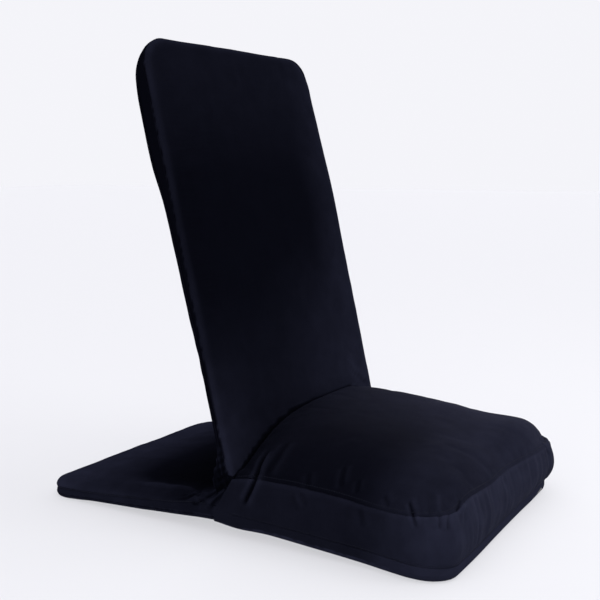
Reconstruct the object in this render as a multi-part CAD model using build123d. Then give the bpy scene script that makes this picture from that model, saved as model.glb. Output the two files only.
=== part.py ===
from build123d import *
import math
import os

# Folding floor chair: three cloth-covered leaves (seat, back and tail) on round steel tube frames.
# Millimetres. +Z is up, the sitter faces -Y, and the origin is on the floor under the middle
# of the chair's outline. Every leaf is drawn flat in its own frame and then set on its slope.

# ---------------------------------------------------------------- overall sizes
WIDTH = 430.0               # across the covers
SEAT_REACH = 309.0          # foot of the back to the front of the cushion
TAIL_REACH = 349.0          # foot of the back to the end of the tail
BACK_LENGTH = 602.0         # along the back, above the cushion's upper seam
BACK_LEAN = 12.9            # degrees from upright
SEAM_HEIGHT = 85.0          # cushion's upper seam at the foot of the back
APEX_HEIGHT = 19.0          # underside of the base above the floor at the hinge line
APEX_OFFSET = 32.0          # hinge line behind the foot of the back
FOOT_FLAT = 0.5             # depth to which each cloth foot is pressed flat on the floor

# ---------------------------------------------------------------- cloth
CLOTH = 1.2                 # canvas with its lining
CORNER_RADIUS = 50.0        # outline corners of all three leaves
EDGE_RADIUS = 8.0           # cloth drawn round the tubes
BACK_FOOT_THICKNESS = 21.0
BACK_TOP_THICKNESS = 28.0
TAIL_THICKNESS = 21.0
BASE_WRAP = 17.0            # base cloth turned up the sides, to the lower seam
SEAM_FALL = 7.0             # upper seam is this much lower at the cushion's front
REAR_CROWN = 54.0           # crown above the seam at the back
CROWN_FALL = 16.0           # loss of crown towards the front
CROWN_FULLNESS = 20         # how late the crown drops to the front seam
SHOULDER_WIDTH = 65.0       # rolled edge of the crown
SIDE_BULGE = 2.5            # cushion's sides stand out this much between their seams
BULGE_STEPS = 12            # slices that make up the bulge
BACK_COVER_START = 3.0      # lower edge of the back's pocket above the cushion seam
HINGE_SLOT = 26.0           # cloth under the hinge starts this far from the hinge line
SOFT_CLEARANCE = 0.5        # round soft parts
FOLD_FRONT_DROP = 3.0       # side band of the cushion: upper rear corner
FOLD_REAR = 28.0            # side band: lower rear corner behind the foot of the back
FOLD_REAR_HEIGHT = 42.0

# ---------------------------------------------------------------- frame tubes
TUBE_DIAMETER = 16.0
TUBE_WALL = 1.5
SIDE_WRAP = 12.5            # cover's side to the middle of the back's tube
TUBE_LIFT = 10.5            # leaf's outer face to the middle of its tube
FRAME_MARGIN = 1.3          # tube to the inside of a cover at the leaf's end
CROSS_TUBE_DROP = 30.0      # seat cross tube ahead of the hinge line
TAIL_CROSS_TUBE = 26.0      # tail cross tube behind the hinge line
BACK_CROSS_TUBE = 22.0      # back cross tube above the cushion seam
PLUG_FLANGE = 2.5
PLUG_LENGTH = 14.0
STOP_GAP = 0.3              # between the abutting tube ends

# ---------------------------------------------------------------- straps and fillings
STRAP_THICKNESS = 1.0
STRAP_WIDTH = 40.0
STRAP_CLEARANCE = 0.05
SEAT_STRAPS = 4
BACK_STRAPS = 6
FOAM_GAP = 1.6              # filling to hard parts beside it
TAIL_PAD_THICKNESS = 14.0

# ---------------------------------------------------------------- hinges
PLATE = 3.0                 # bracket and arm thickness
WASHER = 1.0
SIDE_PLAY = 0.1             # each side of a washer that turns
SADDLE = 0.5                # seat tube's depth in the bracket's groove
BACK_PIVOT_DROP = 24.0      # back pivot below the cushion seam, along the back
BACK_BOLT = 8.0
BACK_BUSH = 10.0
BACK_EYE = 10.0             # radius of the bracket round the back pivot
TAIL_BOLT = 6.0
TAIL_EYE = 6.5              # radius of the plates round the tail pivot
TAIL_PIVOT_DROP = 0.5       # tail pivot below the base's underside
PIVOT_PLAY = 0.05           # radial, in both pivots
BOLT_HEAD = 1.6
STOP_RISE = 20.0            # stop pin above the back pivot, along the back
STOP_PIN = 6.0
STOP_EYE = 6.0
BRACKET_FOOT_REACH = 77.0   # bracket's foot ahead of the hinge line
BRACKET_HEEL = 8.0          # bracket's heel ahead of the hinge line
BRACKET_FOOT_RADIUS = 7.0
UPRIGHT_REACH = 38.0        # front of the bracket's upright ahead of the hinge line
RIVET = 5.0
RIVET_HEAD = 1.5
RIVET_SPACING = 20.0
PLUG_OVERRUN = 12.0         # back tube below its pivot

# ---------------------------------------------------------------- zip in the base cloth
ZIP_LENGTH = 300.0
ZIP_TAPE = 24.0
ZIP_TAPE_THICKNESS = 0.8
ZIP_CHAIN = 5.0
ZIP_CHAIN_THICKNESS = 1.4
ZIP_OFFSET = 72.0           # ahead of the hinge line
SLIDER_LENGTH = 12.0
SLIDER_WIDTH = 9.0
SLIDER_THICKNESS = 3.4
PULL_LENGTH = 24.0
PULL_WIDTH = 5.0
PULL_THICKNESS = 1.2

# ---------------------------------------------------------------- worked out from the above
HALF_WIDTH = WIDTH / 2
TUBE_R = TUBE_DIAMETER / 2
FOOT_Y = (SEAT_REACH - TAIL_REACH) / 2
HINGE_Y = FOOT_Y + APEX_OFFSET
SEAT_LENGTH = SEAT_REACH + APEX_OFFSET
TAIL_LENGTH = TAIL_REACH - APEX_OFFSET
SEAT_SLOPE = math.degrees(math.asin((APEX_HEIGHT + FOOT_FLAT) / (SEAT_LENGTH - 2 * EDGE_RADIUS)))
TAIL_SLOPE = math.degrees(math.asin((APEX_HEIGHT + FOOT_FLAT) / (TAIL_LENGTH - 2 * EDGE_RADIUS)))
BACK_TUBE_X = HALF_WIDTH - SIDE_WRAP
PLATE_OUTER = BACK_TUBE_X - TUBE_R - WASHER - SIDE_PLAY
PLATE_INNER = PLATE_OUTER - PLATE
BASE_TUBE_X = PLATE_OUTER - SADDLE + TUBE_R
ARM_OUTER = PLATE_INNER - WASHER - SIDE_PLAY
ARM_INNER = ARM_OUTER - PLATE
STRAP_BORE = TUBE_R + STRAP_CLEARANCE
STRAP_R = STRAP_BORE + STRAP_THICKNESS
FOAM_BASE = TUBE_LIFT + STRAP_R + SOFT_CLEARANCE
ARM_EYE = TUBE_LIFT - CLOTH - STOP_GAP
TAIL_TUBE_X = BACK_TUBE_X
LONG = 4 * BACK_LENGTH      # larger than the chair, for cutting blocks


# ---------------------------------------------------------------- the three leaves' own frames
def on_seat(shape):
    """Seat frame: origin on the hinge line at the underside, -Y forward along the seat."""
    return Pos(0, HINGE_Y, APEX_HEIGHT) * Rot(SEAT_SLOPE, 0, 0) * shape


def on_tail(shape):
    """Tail frame: origin on the hinge line at the underside, +Y rearward along the tail."""
    return Pos(0, HINGE_Y, APEX_HEIGHT) * Rot(-TAIL_SLOPE, 0, 0) * shape


def on_back(shape):
    """Back frame: origin at the foot of the back's front face, +Z up along the back."""
    return Pos(0, FOOT_Y, SEAM_HEIGHT) * Rot(-BACK_LEAN, 0, 0) * shape


def turned(y, z, degrees):
    """A point (y, z) turned about the origin as the X rotation of a leaf does."""
    a = math.radians(degrees)
    return y * math.cos(a) - z * math.sin(a), y * math.sin(a) + z * math.cos(a)


def back_point(y, z):
    """A point of the back's frame as a (y, z) of the chair."""
    dy, dz = turned(y, z, -BACK_LEAN)
    return FOOT_Y + dy, SEAM_HEIGHT + dz


def seat_point(forward, lift):
    """A point of the seat's frame as a (y, z) of the chair."""
    dy, dz = turned(-forward, lift, SEAT_SLOPE)
    return HINGE_Y + dy, APEX_HEIGHT + dz


BACK_PIVOT = back_point(TUBE_LIFT, -BACK_PIVOT_DROP)
STOP_POINT = back_point(TUBE_LIFT + TUBE_R + STOP_GAP + STOP_PIN / 2, STOP_RISE - BACK_PIVOT_DROP)
TAIL_PIVOT = (HINGE_Y, APEX_HEIGHT - TAIL_PIVOT_DROP)


# ---------------------------------------------------------------- small helpers
def rod_x(x0, x1, y, z, radius):
    """Round bar along X from x0 to x1."""
    return Pos((x0 + x1) / 2, y, z) * Rot(0, 90, 0) * Cylinder(radius, abs(x1 - x0))


def block(x0, x1, y0, y1, z0, z1):
    return Pos((x0 + x1) / 2, (y0 + y1) / 2, (z0 + z1) / 2) * Box(x1 - x0, y1 - y0, z1 - z0)


def both_sides(shape):
    """The shape and its mirror image across the chair's middle plane, as separate solids."""
    return Compound([*shape.solids(), *mirror(shape, Plane.YZ).solids()])


def plate_x(x0, x1, face):
    """A face drawn in (y, z) and made a plate between x0 and x1."""
    return extrude(Plane.YZ.offset(x0) * face, x1 - x0)


def link(a, ra, b, rb):
    """Hull of two circles at (y, z) points: the outline of a link or ear."""
    circles = Pos(*a) * Circle(ra) + Pos(*b) * Circle(rb)
    return make_hull(circles.edges())


def save(shape, node):
    export_step(shape, f"parts/{node}.step")


def half_outline(half_width, reach, corner):
    """Leaf outline from the hinge line to its rounded far corners, towards +Y."""
    sheet = Pos(0, reach / 2) * Rectangle(2 * half_width, reach)
    return fillet(sheet.vertices().sort_by(Axis.Y)[-2:], corner)


def bent_tube(half_span, near, far, corner, radius, wall):
    """U of round tube in the XY plane, with its legs towards +Y and its bend at y = far."""
    path = FilletPolyline(
        (half_span, near, 0), (half_span, far, 0), (-half_span, far, 0), (-half_span, near, 0), radius=corner
    )
    ring = Circle(radius) - Circle(radius - wall) if wall else Circle(radius)
    return sweep((Location((half_span, near, 0), (-90, 0, 0))) * ring, path=path)


def tube_plug(y0, direction):
    """Plug for a tube end at y = y0 that runs along Y: flange outside, shank inside."""
    flange = Pos(0, y0 + direction * PLUG_FLANGE / 2, 0) * Rot(90, 0, 0) * Cylinder(TUBE_R, PLUG_FLANGE)
    shank = Pos(0, y0 - direction * PLUG_LENGTH / 2, 0) * Rot(90, 0, 0) * Cylinder(
        TUBE_R - TUBE_WALL, PLUG_LENGTH
    )
    return flange + shank


def strap(half_span, side):
    """Webbing strap round two tubes that run along Y at z = 0, tangent on the given side in Z."""
    eye = Circle(STRAP_R)
    run = Pos(0, side * (STRAP_BORE + STRAP_THICKNESS / 2)) * Rectangle(2 * half_span, STRAP_THICKNESS)
    outline = Pos(half_span, 0) * eye + Pos(-half_span, 0) * eye + run
    outline -= Pos(half_span, 0) * Circle(STRAP_BORE) + Pos(-half_span, 0) * Circle(STRAP_BORE)
    return extrude(Plane.XZ * outline, STRAP_WIDTH / 2, both=True)


# ---------------------------------------------------------------- back leaf
BACK_FRAME_TOP = BACK_LENGTH - CLOTH - FRAME_MARGIN - TUBE_R
BACK_BEND = CORNER_RADIUS - SIDE_WRAP
BACK_TUBE_END = BACK_PIVOT_DROP + PLUG_OVERRUN


def back_envelope(inset, foot):
    """The back's cloth outline: round top corners, and thicker towards the top."""
    front = half_outline(HALF_WIDTH - inset, BACK_LENGTH - inset, CORNER_RADIUS - inset)
    slab = extrude(Plane((0, 0, 0), x_dir=(1, 0, 0), z_dir=(0, -1, 0)) * front, -BACK_TOP_THICKNESS)
    profile = make_face(
        Polyline(
            (inset, foot), (BACK_FOOT_THICKNESS - inset, foot),
            (BACK_TOP_THICKNESS - inset, BACK_LENGTH), (inset, BACK_LENGTH), close=True,
        )
    )
    wedge = slab & plate_x(-HALF_WIDTH, HALF_WIDTH, profile)
    rims = [e for face in (wedge.faces().sort_by(Axis.Y)[0], wedge.faces().sort_by(Axis.Y)[-1])
            for e in face.edges() if e.center().Z > foot + FOOT_FLAT]
    return fillet(rims, EDGE_RADIUS - inset)


def make_back_cover():
    shell = back_envelope(0, BACK_COVER_START) - back_envelope(CLOTH, BACK_COVER_START - CLOTH)
    return on_back(shell)


def back_tube(radius, wall):
    """Inverted U in the back's frame, its legs along Z."""
    u_tube = bent_tube(BACK_TUBE_X, -BACK_TUBE_END, BACK_FRAME_TOP, BACK_BEND, radius, wall)
    return Pos(0, TUBE_LIFT, 0) * Rot(90, 0, 0) * u_tube


def make_back_frame():
    hole = rod_x(-HALF_WIDTH, HALF_WIDTH, TUBE_LIFT, -BACK_PIVOT_DROP, BACK_BUSH / 2)
    return on_back(back_tube(TUBE_R, TUBE_WALL) - hole)


def cross_tube(half_span, y, z, side_tube):
    """Tube along X, saddled on the frame's two legs."""
    tube = rod_x(-half_span, half_span, y, z, TUBE_R) - rod_x(-half_span, half_span, y, z, TUBE_R - TUBE_WALL)
    return (tube - side_tube).solids().sort_by(SortBy.VOLUME)[-1]


def make_back_cross_tube():
    return on_back(cross_tube(BACK_TUBE_X, TUBE_LIFT, BACK_CROSS_TUBE, back_tube(TUBE_R, 0)))


def strap_places(first, last, count):
    return [first + (last - first) * i / (count - 1) for i in range(count)]


def make_back_webbing():
    """Straps across the back, run behind the pad and round both legs."""
    first = BACK_CROSS_TUBE + TUBE_R + STRAP_WIDTH
    last = BACK_FRAME_TOP - BACK_BEND - STRAP_WIDTH
    straps = []
    for z in strap_places(first, last, BACK_STRAPS):
        straps.append(on_back(Pos(0, TUBE_LIFT, z) * Rot(90, 0, 0) * strap(BACK_TUBE_X, -1)))
    return Compound([s for piece in straps for s in piece.solids()])


def make_back_pad():
    """Foam between the back's tubes, from the front cloth to the webbing."""
    half = BACK_TUBE_X - STRAP_R - FOAM_GAP
    foot = BACK_CROSS_TUBE + TUBE_R + FOAM_GAP
    top = BACK_FRAME_TOP - TUBE_R - FOAM_GAP
    sheet = half_outline(half, top - foot, BACK_BEND - TUBE_R)
    thickness = TUBE_LIFT + TUBE_R - CLOTH - SOFT_CLEARANCE
    pad = extrude(Plane((0, 0, foot), x_dir=(1, 0, 0), z_dir=(0, -1, 0)) * sheet, -thickness)
    return on_back(Pos(0, CLOTH + SOFT_CLEARANCE, 0) * pad)


def make_back_plugs():
    leg = Pos(BACK_TUBE_X, TUBE_LIFT, 0) * Rot(90, 0, 0) * tube_plug(-BACK_TUBE_END, -1)
    return on_back(both_sides(leg - rod_x(0, HALF_WIDTH, TUBE_LIFT, -BACK_PIVOT_DROP, BACK_BUSH / 2)))


def make_back_bushes():
    inner, outer = BACK_TUBE_X - TUBE_R, BACK_TUBE_X + TUBE_R
    bush = rod_x(inner, outer, *BACK_PIVOT, BACK_BUSH / 2)
    return both_sides(bush - rod_x(inner, outer, *BACK_PIVOT, BACK_BOLT / 2 + PIVOT_PLAY))


# ---------------------------------------------------------------- cushion
def seam_height(y):
    """Upper seam's height at y, measured forward from the foot of the back."""
    return SEAM_HEIGHT + SOFT_CLEARANCE - SEAM_FALL * y / SEAT_REACH


def crown_rise(y):
    """Crown above the seam: fullest at the back, dropping late to the front seam."""
    t = max(y, 0) / SEAT_REACH
    return (REAR_CROWN - CROWN_FALL * t) * (1 - t ** CROWN_FULLNESS)


def crown_section(y, inset):
    """Upright slice of the cushion: flat base, straight sides, rolled shoulders and a low arch."""
    seam, rise = seam_height(y) - inset, crown_rise(y)
    edge = HALF_WIDTH - SIDE_BULGE - inset
    shoulder = edge - SHOULDER_WIDTH
    roll = (edge + shoulder) / 2
    top = [(edge, seam), (roll, seam + 0.64 * rise), (shoulder, seam + 0.88 * rise)]
    left = [(-x, z) for x, z in reversed(top)]
    wide = HALF_WIDTH + 2 * SIDE_BULGE
    outline = (
        Polyline(left[-1], (-wide, seam - SIDE_BULGE), (-wide, 0), (wide, 0), (wide, seam - SIDE_BULGE), top[0])
        + ThreePointArc(*top)
        + ThreePointArc(top[-1], (0, seam + rise), left[0])
        + ThreePointArc(*left)
    )
    return Plane((0, FOOT_Y - y, 0), x_dir=(1, 0, 0), z_dir=(0, -1, 0)) * make_face(outline)


CROWN_STATIONS = [-0.08, 0.0, 0.25, 0.5, 0.75, 0.88, 0.94, 0.975, 0.995, 1.02]


def cushion_form(inset):
    """Boxed cushion: bulged sides cut to the leaf's outline, under a crown that falls to the front."""
    crown = loft([crown_section(t * SEAT_REACH, inset) for t in CROWN_STATIONS], ruled=True)
    middle = SEAM_HEIGHT / 2
    rings = []
    for step in range(BULGE_STEPS + 1):
        z = 2 * SEAM_HEIGHT * step / BULGE_STEPS
        draw = SIDE_BULGE * min((z / middle - 1) ** 2, 2)
        outline = half_outline(HALF_WIDTH - inset - draw, SEAT_LENGTH - inset - draw, CORNER_RADIUS)
        rings.append(Pos(0, HINGE_Y, z) * Rot(0, 0, 180) * outline)
    return loft(rings, ruled=True) & crown


def behind_back_front(gap):
    """Everything behind a plane that lies a gap in front of the back's front face."""
    return on_back(block(-LONG, LONG, -gap, LONG, -LONG, LONG))


def side_band_end():
    """Space behind the side band's rear edge, which runs down and back from the cushion's seam."""
    outline = make_face(
        Polyline(
            (FOOT_Y - FOLD_FRONT_DROP, SEAM_HEIGHT), (FOOT_Y + FOLD_REAR, FOLD_REAR_HEIGHT),
            (FOOT_Y + FOLD_REAR, -SEAM_HEIGHT), (LONG, -SEAM_HEIGHT), (LONG, SEAM_HEIGHT), close=True,
        )
    )
    return plate_x(-LONG, LONG, outline)


def make_seat_cover():
    """Crowned top and side band, open below, where the base cloth meets it at the lower seam."""
    form = cushion_form(0) - cushion_form(CLOTH)
    form -= on_seat(block(-LONG, LONG, -LONG, LONG, -LONG, BASE_WRAP))
    upper = behind_back_front(SOFT_CLEARANCE) - block(-LONG, LONG, -LONG, LONG, -LONG, SEAM_HEIGHT)
    form = form - upper - side_band_end()
    return form.solids().sort_by(SortBy.VOLUME)[-1]


def make_seat_foam():
    """Crowned foam block on the webbing, stopping short of the back's frame."""
    form = cushion_form(CLOTH + SOFT_CLEARANCE)
    form -= on_seat(block(-LONG, LONG, -LONG, LONG, -LONG, FOAM_BASE))
    form -= behind_back_front(2 * FOAM_GAP)
    return form.solids().sort_by(SortBy.VOLUME)[-1]


# ---------------------------------------------------------------- base leaves
def leaf_solid(inset, length, thickness, round_top):
    """Closed leaf from the hinge line towards +Y, its far and side edges drawn round."""
    outline = half_outline(HALF_WIDTH - inset, length - inset, CORNER_RADIUS - inset)
    slab = extrude(outline, thickness - (2 * inset if round_top else inset))
    rims = [e for e in slab.edges().group_by(Axis.Z)[0] if e.center().Y > FOOT_FLAT]
    if round_top:
        rims += [e for e in slab.edges().group_by(Axis.Z)[-1] if e.center().Y > FOOT_FLAT]
    return Pos(0, 0, inset) * fillet(rims, EDGE_RADIUS - inset)


def floor_block():
    return block(-LONG, LONG, -LONG, LONG, -LONG, 0)


def hinge_notch(lift):
    """Clears the cloth around the hinge plates, between the two side edges."""
    return block(-BASE_TUBE_X, BASE_TUBE_X, -HINGE_SLOT, HINGE_SLOT, -TUBE_R, lift)


def make_seat_base_cloth():
    """Base cloth under the seat, turned up the front and sides to the lower seam."""
    tray = leaf_solid(0, SEAT_LENGTH, BASE_WRAP - STRAP_CLEARANCE, False)
    tray -= leaf_solid(CLOTH, SEAT_LENGTH, LONG, False) - block(-LONG, LONG, -LONG, -LONG / 2, 0, LONG)
    tray -= block(-LONG, LONG, -LONG, CLOTH, -LONG, LONG) + hinge_notch(LONG)
    return on_seat(Rot(0, 0, 180) * tray) - floor_block()


def make_tail_cover():
    """Pocket over the tail's frame, open towards the hinge."""
    pocket = leaf_solid(0, TAIL_LENGTH, TAIL_THICKNESS, True)
    pocket -= leaf_solid(CLOTH, TAIL_LENGTH, TAIL_THICKNESS, True)
    pocket -= block(-LONG, LONG, -LONG, CLOTH, -LONG, LONG) + hinge_notch(CLOTH * 2)
    return on_tail(pocket) - floor_block()


SEAT_FRAME_END = SEAT_LENGTH - CLOTH - FRAME_MARGIN - TUBE_R
TAIL_FRAME_END = TAIL_LENGTH - CLOTH - FRAME_MARGIN - TUBE_R
BASE_BEND = CORNER_RADIUS - SIDE_WRAP
BASE_TUBE_START = STOP_GAP / 2 + PLUG_FLANGE


def base_tube(half_span, near, far, radius, wall):
    """U of tube for a base leaf, from y = near at its hinge end to y = far."""
    return Pos(0, 0, TUBE_LIFT) * bent_tube(half_span, near, far, BASE_BEND, radius, wall)


def seat_turn(shape):
    """From a leaf drawn towards +Y to the seat, which runs towards -Y."""
    return on_seat(Rot(0, 0, 180) * shape)


def rivet_points():
    """Rivets through the seat tube and the bracket's foot, forward of the hinge line."""
    first = BRACKET_FOOT_REACH - BRACKET_FOOT_RADIUS
    return [seat_point(first, TUBE_LIFT), seat_point(first - RIVET_SPACING, TUBE_LIFT)]


def make_seat_frame():
    frame = seat_turn(base_tube(BASE_TUBE_X, BASE_TUBE_START, SEAT_FRAME_END, TUBE_R, TUBE_WALL))
    for point in rivet_points():
        frame -= rod_x(-HALF_WIDTH, HALF_WIDTH, *point, RIVET / 2)
    return frame


def make_seat_cross_tube():
    """Ties the two brackets together under the foot of the back."""
    y, z = seat_point(CROSS_TUBE_DROP, TUBE_LIFT)
    return rod_x(-PLATE_INNER, PLATE_INNER, y, z, TUBE_R) - rod_x(
        -PLATE_INNER, PLATE_INNER, y, z, TUBE_R - TUBE_WALL
    )


def make_seat_webbing():
    first = BRACKET_FOOT_REACH + STRAP_WIDTH
    last = SEAT_FRAME_END - BASE_BEND - STRAP_WIDTH / 2
    straps = []
    for y in strap_places(first, last, SEAT_STRAPS):
        straps.append(seat_turn(Pos(0, y, TUBE_LIFT) * strap(BASE_TUBE_X, 1)))
    return Compound([s for piece in straps for s in piece.solids()])


def abutting_plug(place, half_span, side):
    """Plug of a base tube, its flange cut upright where the two leaves abut."""
    plug = place(Pos(half_span, 0, TUBE_LIFT) * tube_plug(BASE_TUBE_START, -1))
    lip = place(Pos(half_span, 0, TUBE_LIFT) * Rot(90, 0, 0) * Cylinder(TUBE_R, 2 * PLUG_FLANGE))
    face = HINGE_Y + side * STOP_GAP / 2
    beyond = block(-LONG, LONG, face - side * LONG / 2 - LONG / 2, face - side * LONG / 2 + LONG / 2, -LONG, LONG)
    return both_sides((plug + lip) - beyond)


def make_seat_plugs():
    return abutting_plug(seat_turn, BASE_TUBE_X, -1)


def make_tail_plugs():
    return abutting_plug(on_tail, TAIL_TUBE_X, 1)


def make_tail_frame():
    return on_tail(base_tube(TAIL_TUBE_X, BASE_TUBE_START, TAIL_FRAME_END, TUBE_R, TUBE_WALL))


def make_tail_cross_tube():
    side_tube = base_tube(TAIL_TUBE_X, BASE_TUBE_START, TAIL_FRAME_END, TUBE_R, 0)
    return on_tail(cross_tube(TAIL_TUBE_X, TAIL_CROSS_TUBE, TUBE_LIFT, side_tube))


def make_tail_pad():
    """Thin firm pad that fills the tail between its tubes."""
    start = TAIL_CROSS_TUBE + TUBE_R + FOAM_GAP
    length = TAIL_FRAME_END - TUBE_R - FOAM_GAP - start
    sheet = half_outline(TAIL_TUBE_X - TUBE_R - FOAM_GAP, length, BASE_BEND - TUBE_R)
    return on_tail(Pos(0, start, CLOTH + SOFT_CLEARANCE) * extrude(sheet, TAIL_PAD_THICKNESS))


# ---------------------------------------------------------------- hinge mechanism
def bracket_outline():
    """Upright eye for the back's pivot and stop, a foot along the seat tube and an ear for the tail."""
    heel = seat_point(BRACKET_HEEL, TUBE_LIFT)
    toe = seat_point(BRACKET_FOOT_REACH, TUBE_LIFT)
    front = seat_point(UPRIGHT_REACH, TUBE_LIFT)
    r = BRACKET_FOOT_RADIUS
    upright = Pos(*BACK_PIVOT) * Circle(BACK_EYE) + Pos(*heel) * Circle(r) + Pos(*front) * Circle(r)
    body = make_hull(upright.edges()) + link(toe, r, heel, r) + link(heel, r, TAIL_PIVOT, TAIL_EYE)
    return body + link(BACK_PIVOT, BACK_EYE, STOP_POINT, STOP_EYE) + link(STOP_POINT, STOP_EYE, heel, r)


def make_bracket():
    plate = plate_x(PLATE_INNER, PLATE_OUTER, bracket_outline())
    plate -= seat_turn(base_tube(BASE_TUBE_X, -TUBE_R, SEAT_FRAME_END, TUBE_R, 0))
    plate -= rod_x(0, HALF_WIDTH, *BACK_PIVOT, BACK_BOLT / 2)
    plate -= rod_x(0, HALF_WIDTH, *TAIL_PIVOT, TAIL_BOLT / 2)
    plate -= rod_x(0, HALF_WIDTH, *STOP_POINT, STOP_PIN / 2)
    for point in rivet_points():
        plate -= rod_x(0, HALF_WIDTH, *point, RIVET / 2)
    return plate.solids().sort_by(SortBy.VOLUME)[-1]


def make_bracket_rivets():
    rivets = []
    outer, inner = BASE_TUBE_X + TUBE_R, PLATE_INNER
    for point in rivet_points():
        rivet = rod_x(inner - RIVET_HEAD, outer + RIVET_HEAD, *point, RIVET / 2)
        rivet += rod_x(outer, outer + RIVET_HEAD, *point, RIVET - PIVOT_PLAY)
        rivet += rod_x(inner - RIVET_HEAD, inner, *point, RIVET - PIVOT_PLAY)
        rivets += both_sides(rivet).solids()
    return Compound(rivets)


def make_stop_pins():
    """Pins that the back's tubes lean on, headed inside the brackets."""
    pin = rod_x(PLATE_INNER, BACK_TUBE_X + TUBE_R - WASHER, *STOP_POINT, STOP_PIN / 2)
    pin += rod_x(PLATE_INNER - BOLT_HEAD, PLATE_INNER, *STOP_POINT, STOP_EYE - WASHER)
    return both_sides(pin)


def hex_nut(x0, x1, point, thread, flats):
    """Lock nut along X: hexagon with a round collar towards x0."""
    collar = (x1 - x0) / 4
    nut = Pos(x0 + collar, *point) * Rot(0, 90, 0) * extrude(RegularPolygon(flats / 2, 6, major_radius=False), x1 - x0 - collar)
    nut += rod_x(x0, x0 + collar, *point, flats / 2 - WASHER)
    return nut - rod_x(x0 - WASHER, x1 + WASHER, *point, thread / 2)


def make_back_bolts():
    """Flat-headed pivot bolts through the back's tubes and the brackets."""
    outer = BACK_TUBE_X + TUBE_R + SIDE_PLAY
    bolt = rod_x(PLATE_INNER - BACK_BOLT - BOLT_HEAD, outer, *BACK_PIVOT, BACK_BOLT / 2)
    return both_sides(bolt + rod_x(outer, outer + BOLT_HEAD, *BACK_PIVOT, BACK_BOLT - WASHER))


def make_back_nuts():
    return both_sides(hex_nut(PLATE_INNER - BACK_BOLT, PLATE_INNER, BACK_PIVOT, BACK_BOLT, 1.6 * BACK_BOLT))


def make_back_washers():
    x0, x1 = PLATE_OUTER, PLATE_OUTER + WASHER
    ring = rod_x(x0, x1, *BACK_PIVOT, BACK_EYE - WASHER) - rod_x(x0, x1, *BACK_PIVOT, BACK_BOLT / 2 + PIVOT_PLAY)
    return both_sides(ring)


def make_tail_arm():
    """Arm on the tail's cross tube that carries the tail to its low pivot."""
    y, z = turned(TAIL_CROSS_TUBE, TUBE_LIFT, -TAIL_SLOPE)
    centre = (HINGE_Y + y, APEX_HEIGHT + z)
    arm = plate_x(ARM_INNER, ARM_OUTER, link(TAIL_PIVOT, TAIL_EYE, centre, ARM_EYE))
    arm -= rod_x(0, HALF_WIDTH, *centre, TUBE_R)
    return arm - rod_x(0, HALF_WIDTH, *TAIL_PIVOT, TAIL_BOLT / 2 + PIVOT_PLAY)


def make_tail_bolts():
    """Pivot bolts from the bracket's outer face through the tail's arms."""
    bolt = rod_x(ARM_INNER - TAIL_BOLT - SIDE_PLAY - BOLT_HEAD, PLATE_OUTER, *TAIL_PIVOT, TAIL_BOLT / 2)
    return both_sides(bolt + rod_x(PLATE_OUTER, PLATE_OUTER + BOLT_HEAD, *TAIL_PIVOT, TAIL_EYE - BOLT_HEAD))


def make_tail_nuts():
    inner = ARM_INNER - SIDE_PLAY
    return both_sides(hex_nut(inner - TAIL_BOLT, inner, TAIL_PIVOT, TAIL_BOLT, 1.65 * TAIL_BOLT))


def make_tail_washers():
    x0, x1 = PLATE_INNER - WASHER, PLATE_INNER
    ring = rod_x(x0, x1, *TAIL_PIVOT, TAIL_EYE) - rod_x(x0, x1, *TAIL_PIVOT, TAIL_BOLT / 2 + PIVOT_PLAY)
    return both_sides(ring)


# ---------------------------------------------------------------- cloth at the hinge
def make_rear_gusset():
    """Loose cloth from the foot of the back's rear face down on to the tail."""
    y0, z0 = back_point(BACK_FOOT_THICKNESS + SOFT_CLEARANCE, BACK_COVER_START * 2)
    ty, tz = turned(2 * HINGE_SLOT + TUBE_R, TAIL_THICKNESS + SOFT_CLEARANCE, -TAIL_SLOPE)
    y1, z1 = HINGE_Y + ty, APEX_HEIGHT + tz
    my, mz = y0 + (y1 - y0) * 0.36, z0 + (z1 - z0) * 0.62
    outer = ThreePointArc((y0, z0), (my, mz), (y1, z1))
    face = make_face(outer + Polyline((y1, z1), (y1 + CLOTH, z1 + CLOTH)) +
                     ThreePointArc((y1 + CLOTH, z1 + CLOTH), (my + CLOTH, mz + CLOTH), (y0 + CLOTH, z0 + CLOTH)) +
                     Polyline((y0 + CLOTH, z0 + CLOTH), (y0, z0)))
    half = HALF_WIDTH - SIDE_BULGE
    return plate_x(-half, half, face)


def make_hinge_flap():
    """Strip of base cloth under the hinge line, between the two pairs of plates."""
    half = ARM_INNER - 2 * TAIL_BOLT
    front, rear = seat_point(HINGE_SLOT, 0), turned(HINGE_SLOT, 0, -TAIL_SLOPE)
    rear = (HINGE_Y + rear[0], APEX_HEIGHT + rear[1])
    crest = (HINGE_Y, APEX_HEIGHT)
    lift = CLOTH
    face = make_face(Polyline(front, crest, rear, (rear[0], rear[1] + lift), (crest[0], crest[1] + lift),
                              (front[0], front[1] + lift), close=True))
    return plate_x(-half, half, face)


def make_zip():
    """Zip in the base cloth: two tapes as one band, with the closed chain along its middle."""
    band = block(-ZIP_LENGTH / 2, ZIP_LENGTH / 2, ZIP_OFFSET - ZIP_TAPE / 2, ZIP_OFFSET + ZIP_TAPE / 2,
                 -ZIP_TAPE_THICKNESS, 0)
    chain = block(-ZIP_LENGTH / 2, ZIP_LENGTH / 2, ZIP_OFFSET - ZIP_CHAIN / 2, ZIP_OFFSET + ZIP_CHAIN / 2,
                  -ZIP_TAPE_THICKNESS - ZIP_CHAIN_THICKNESS, -ZIP_TAPE_THICKNESS)
    return seat_turn(band + chain)


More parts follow.
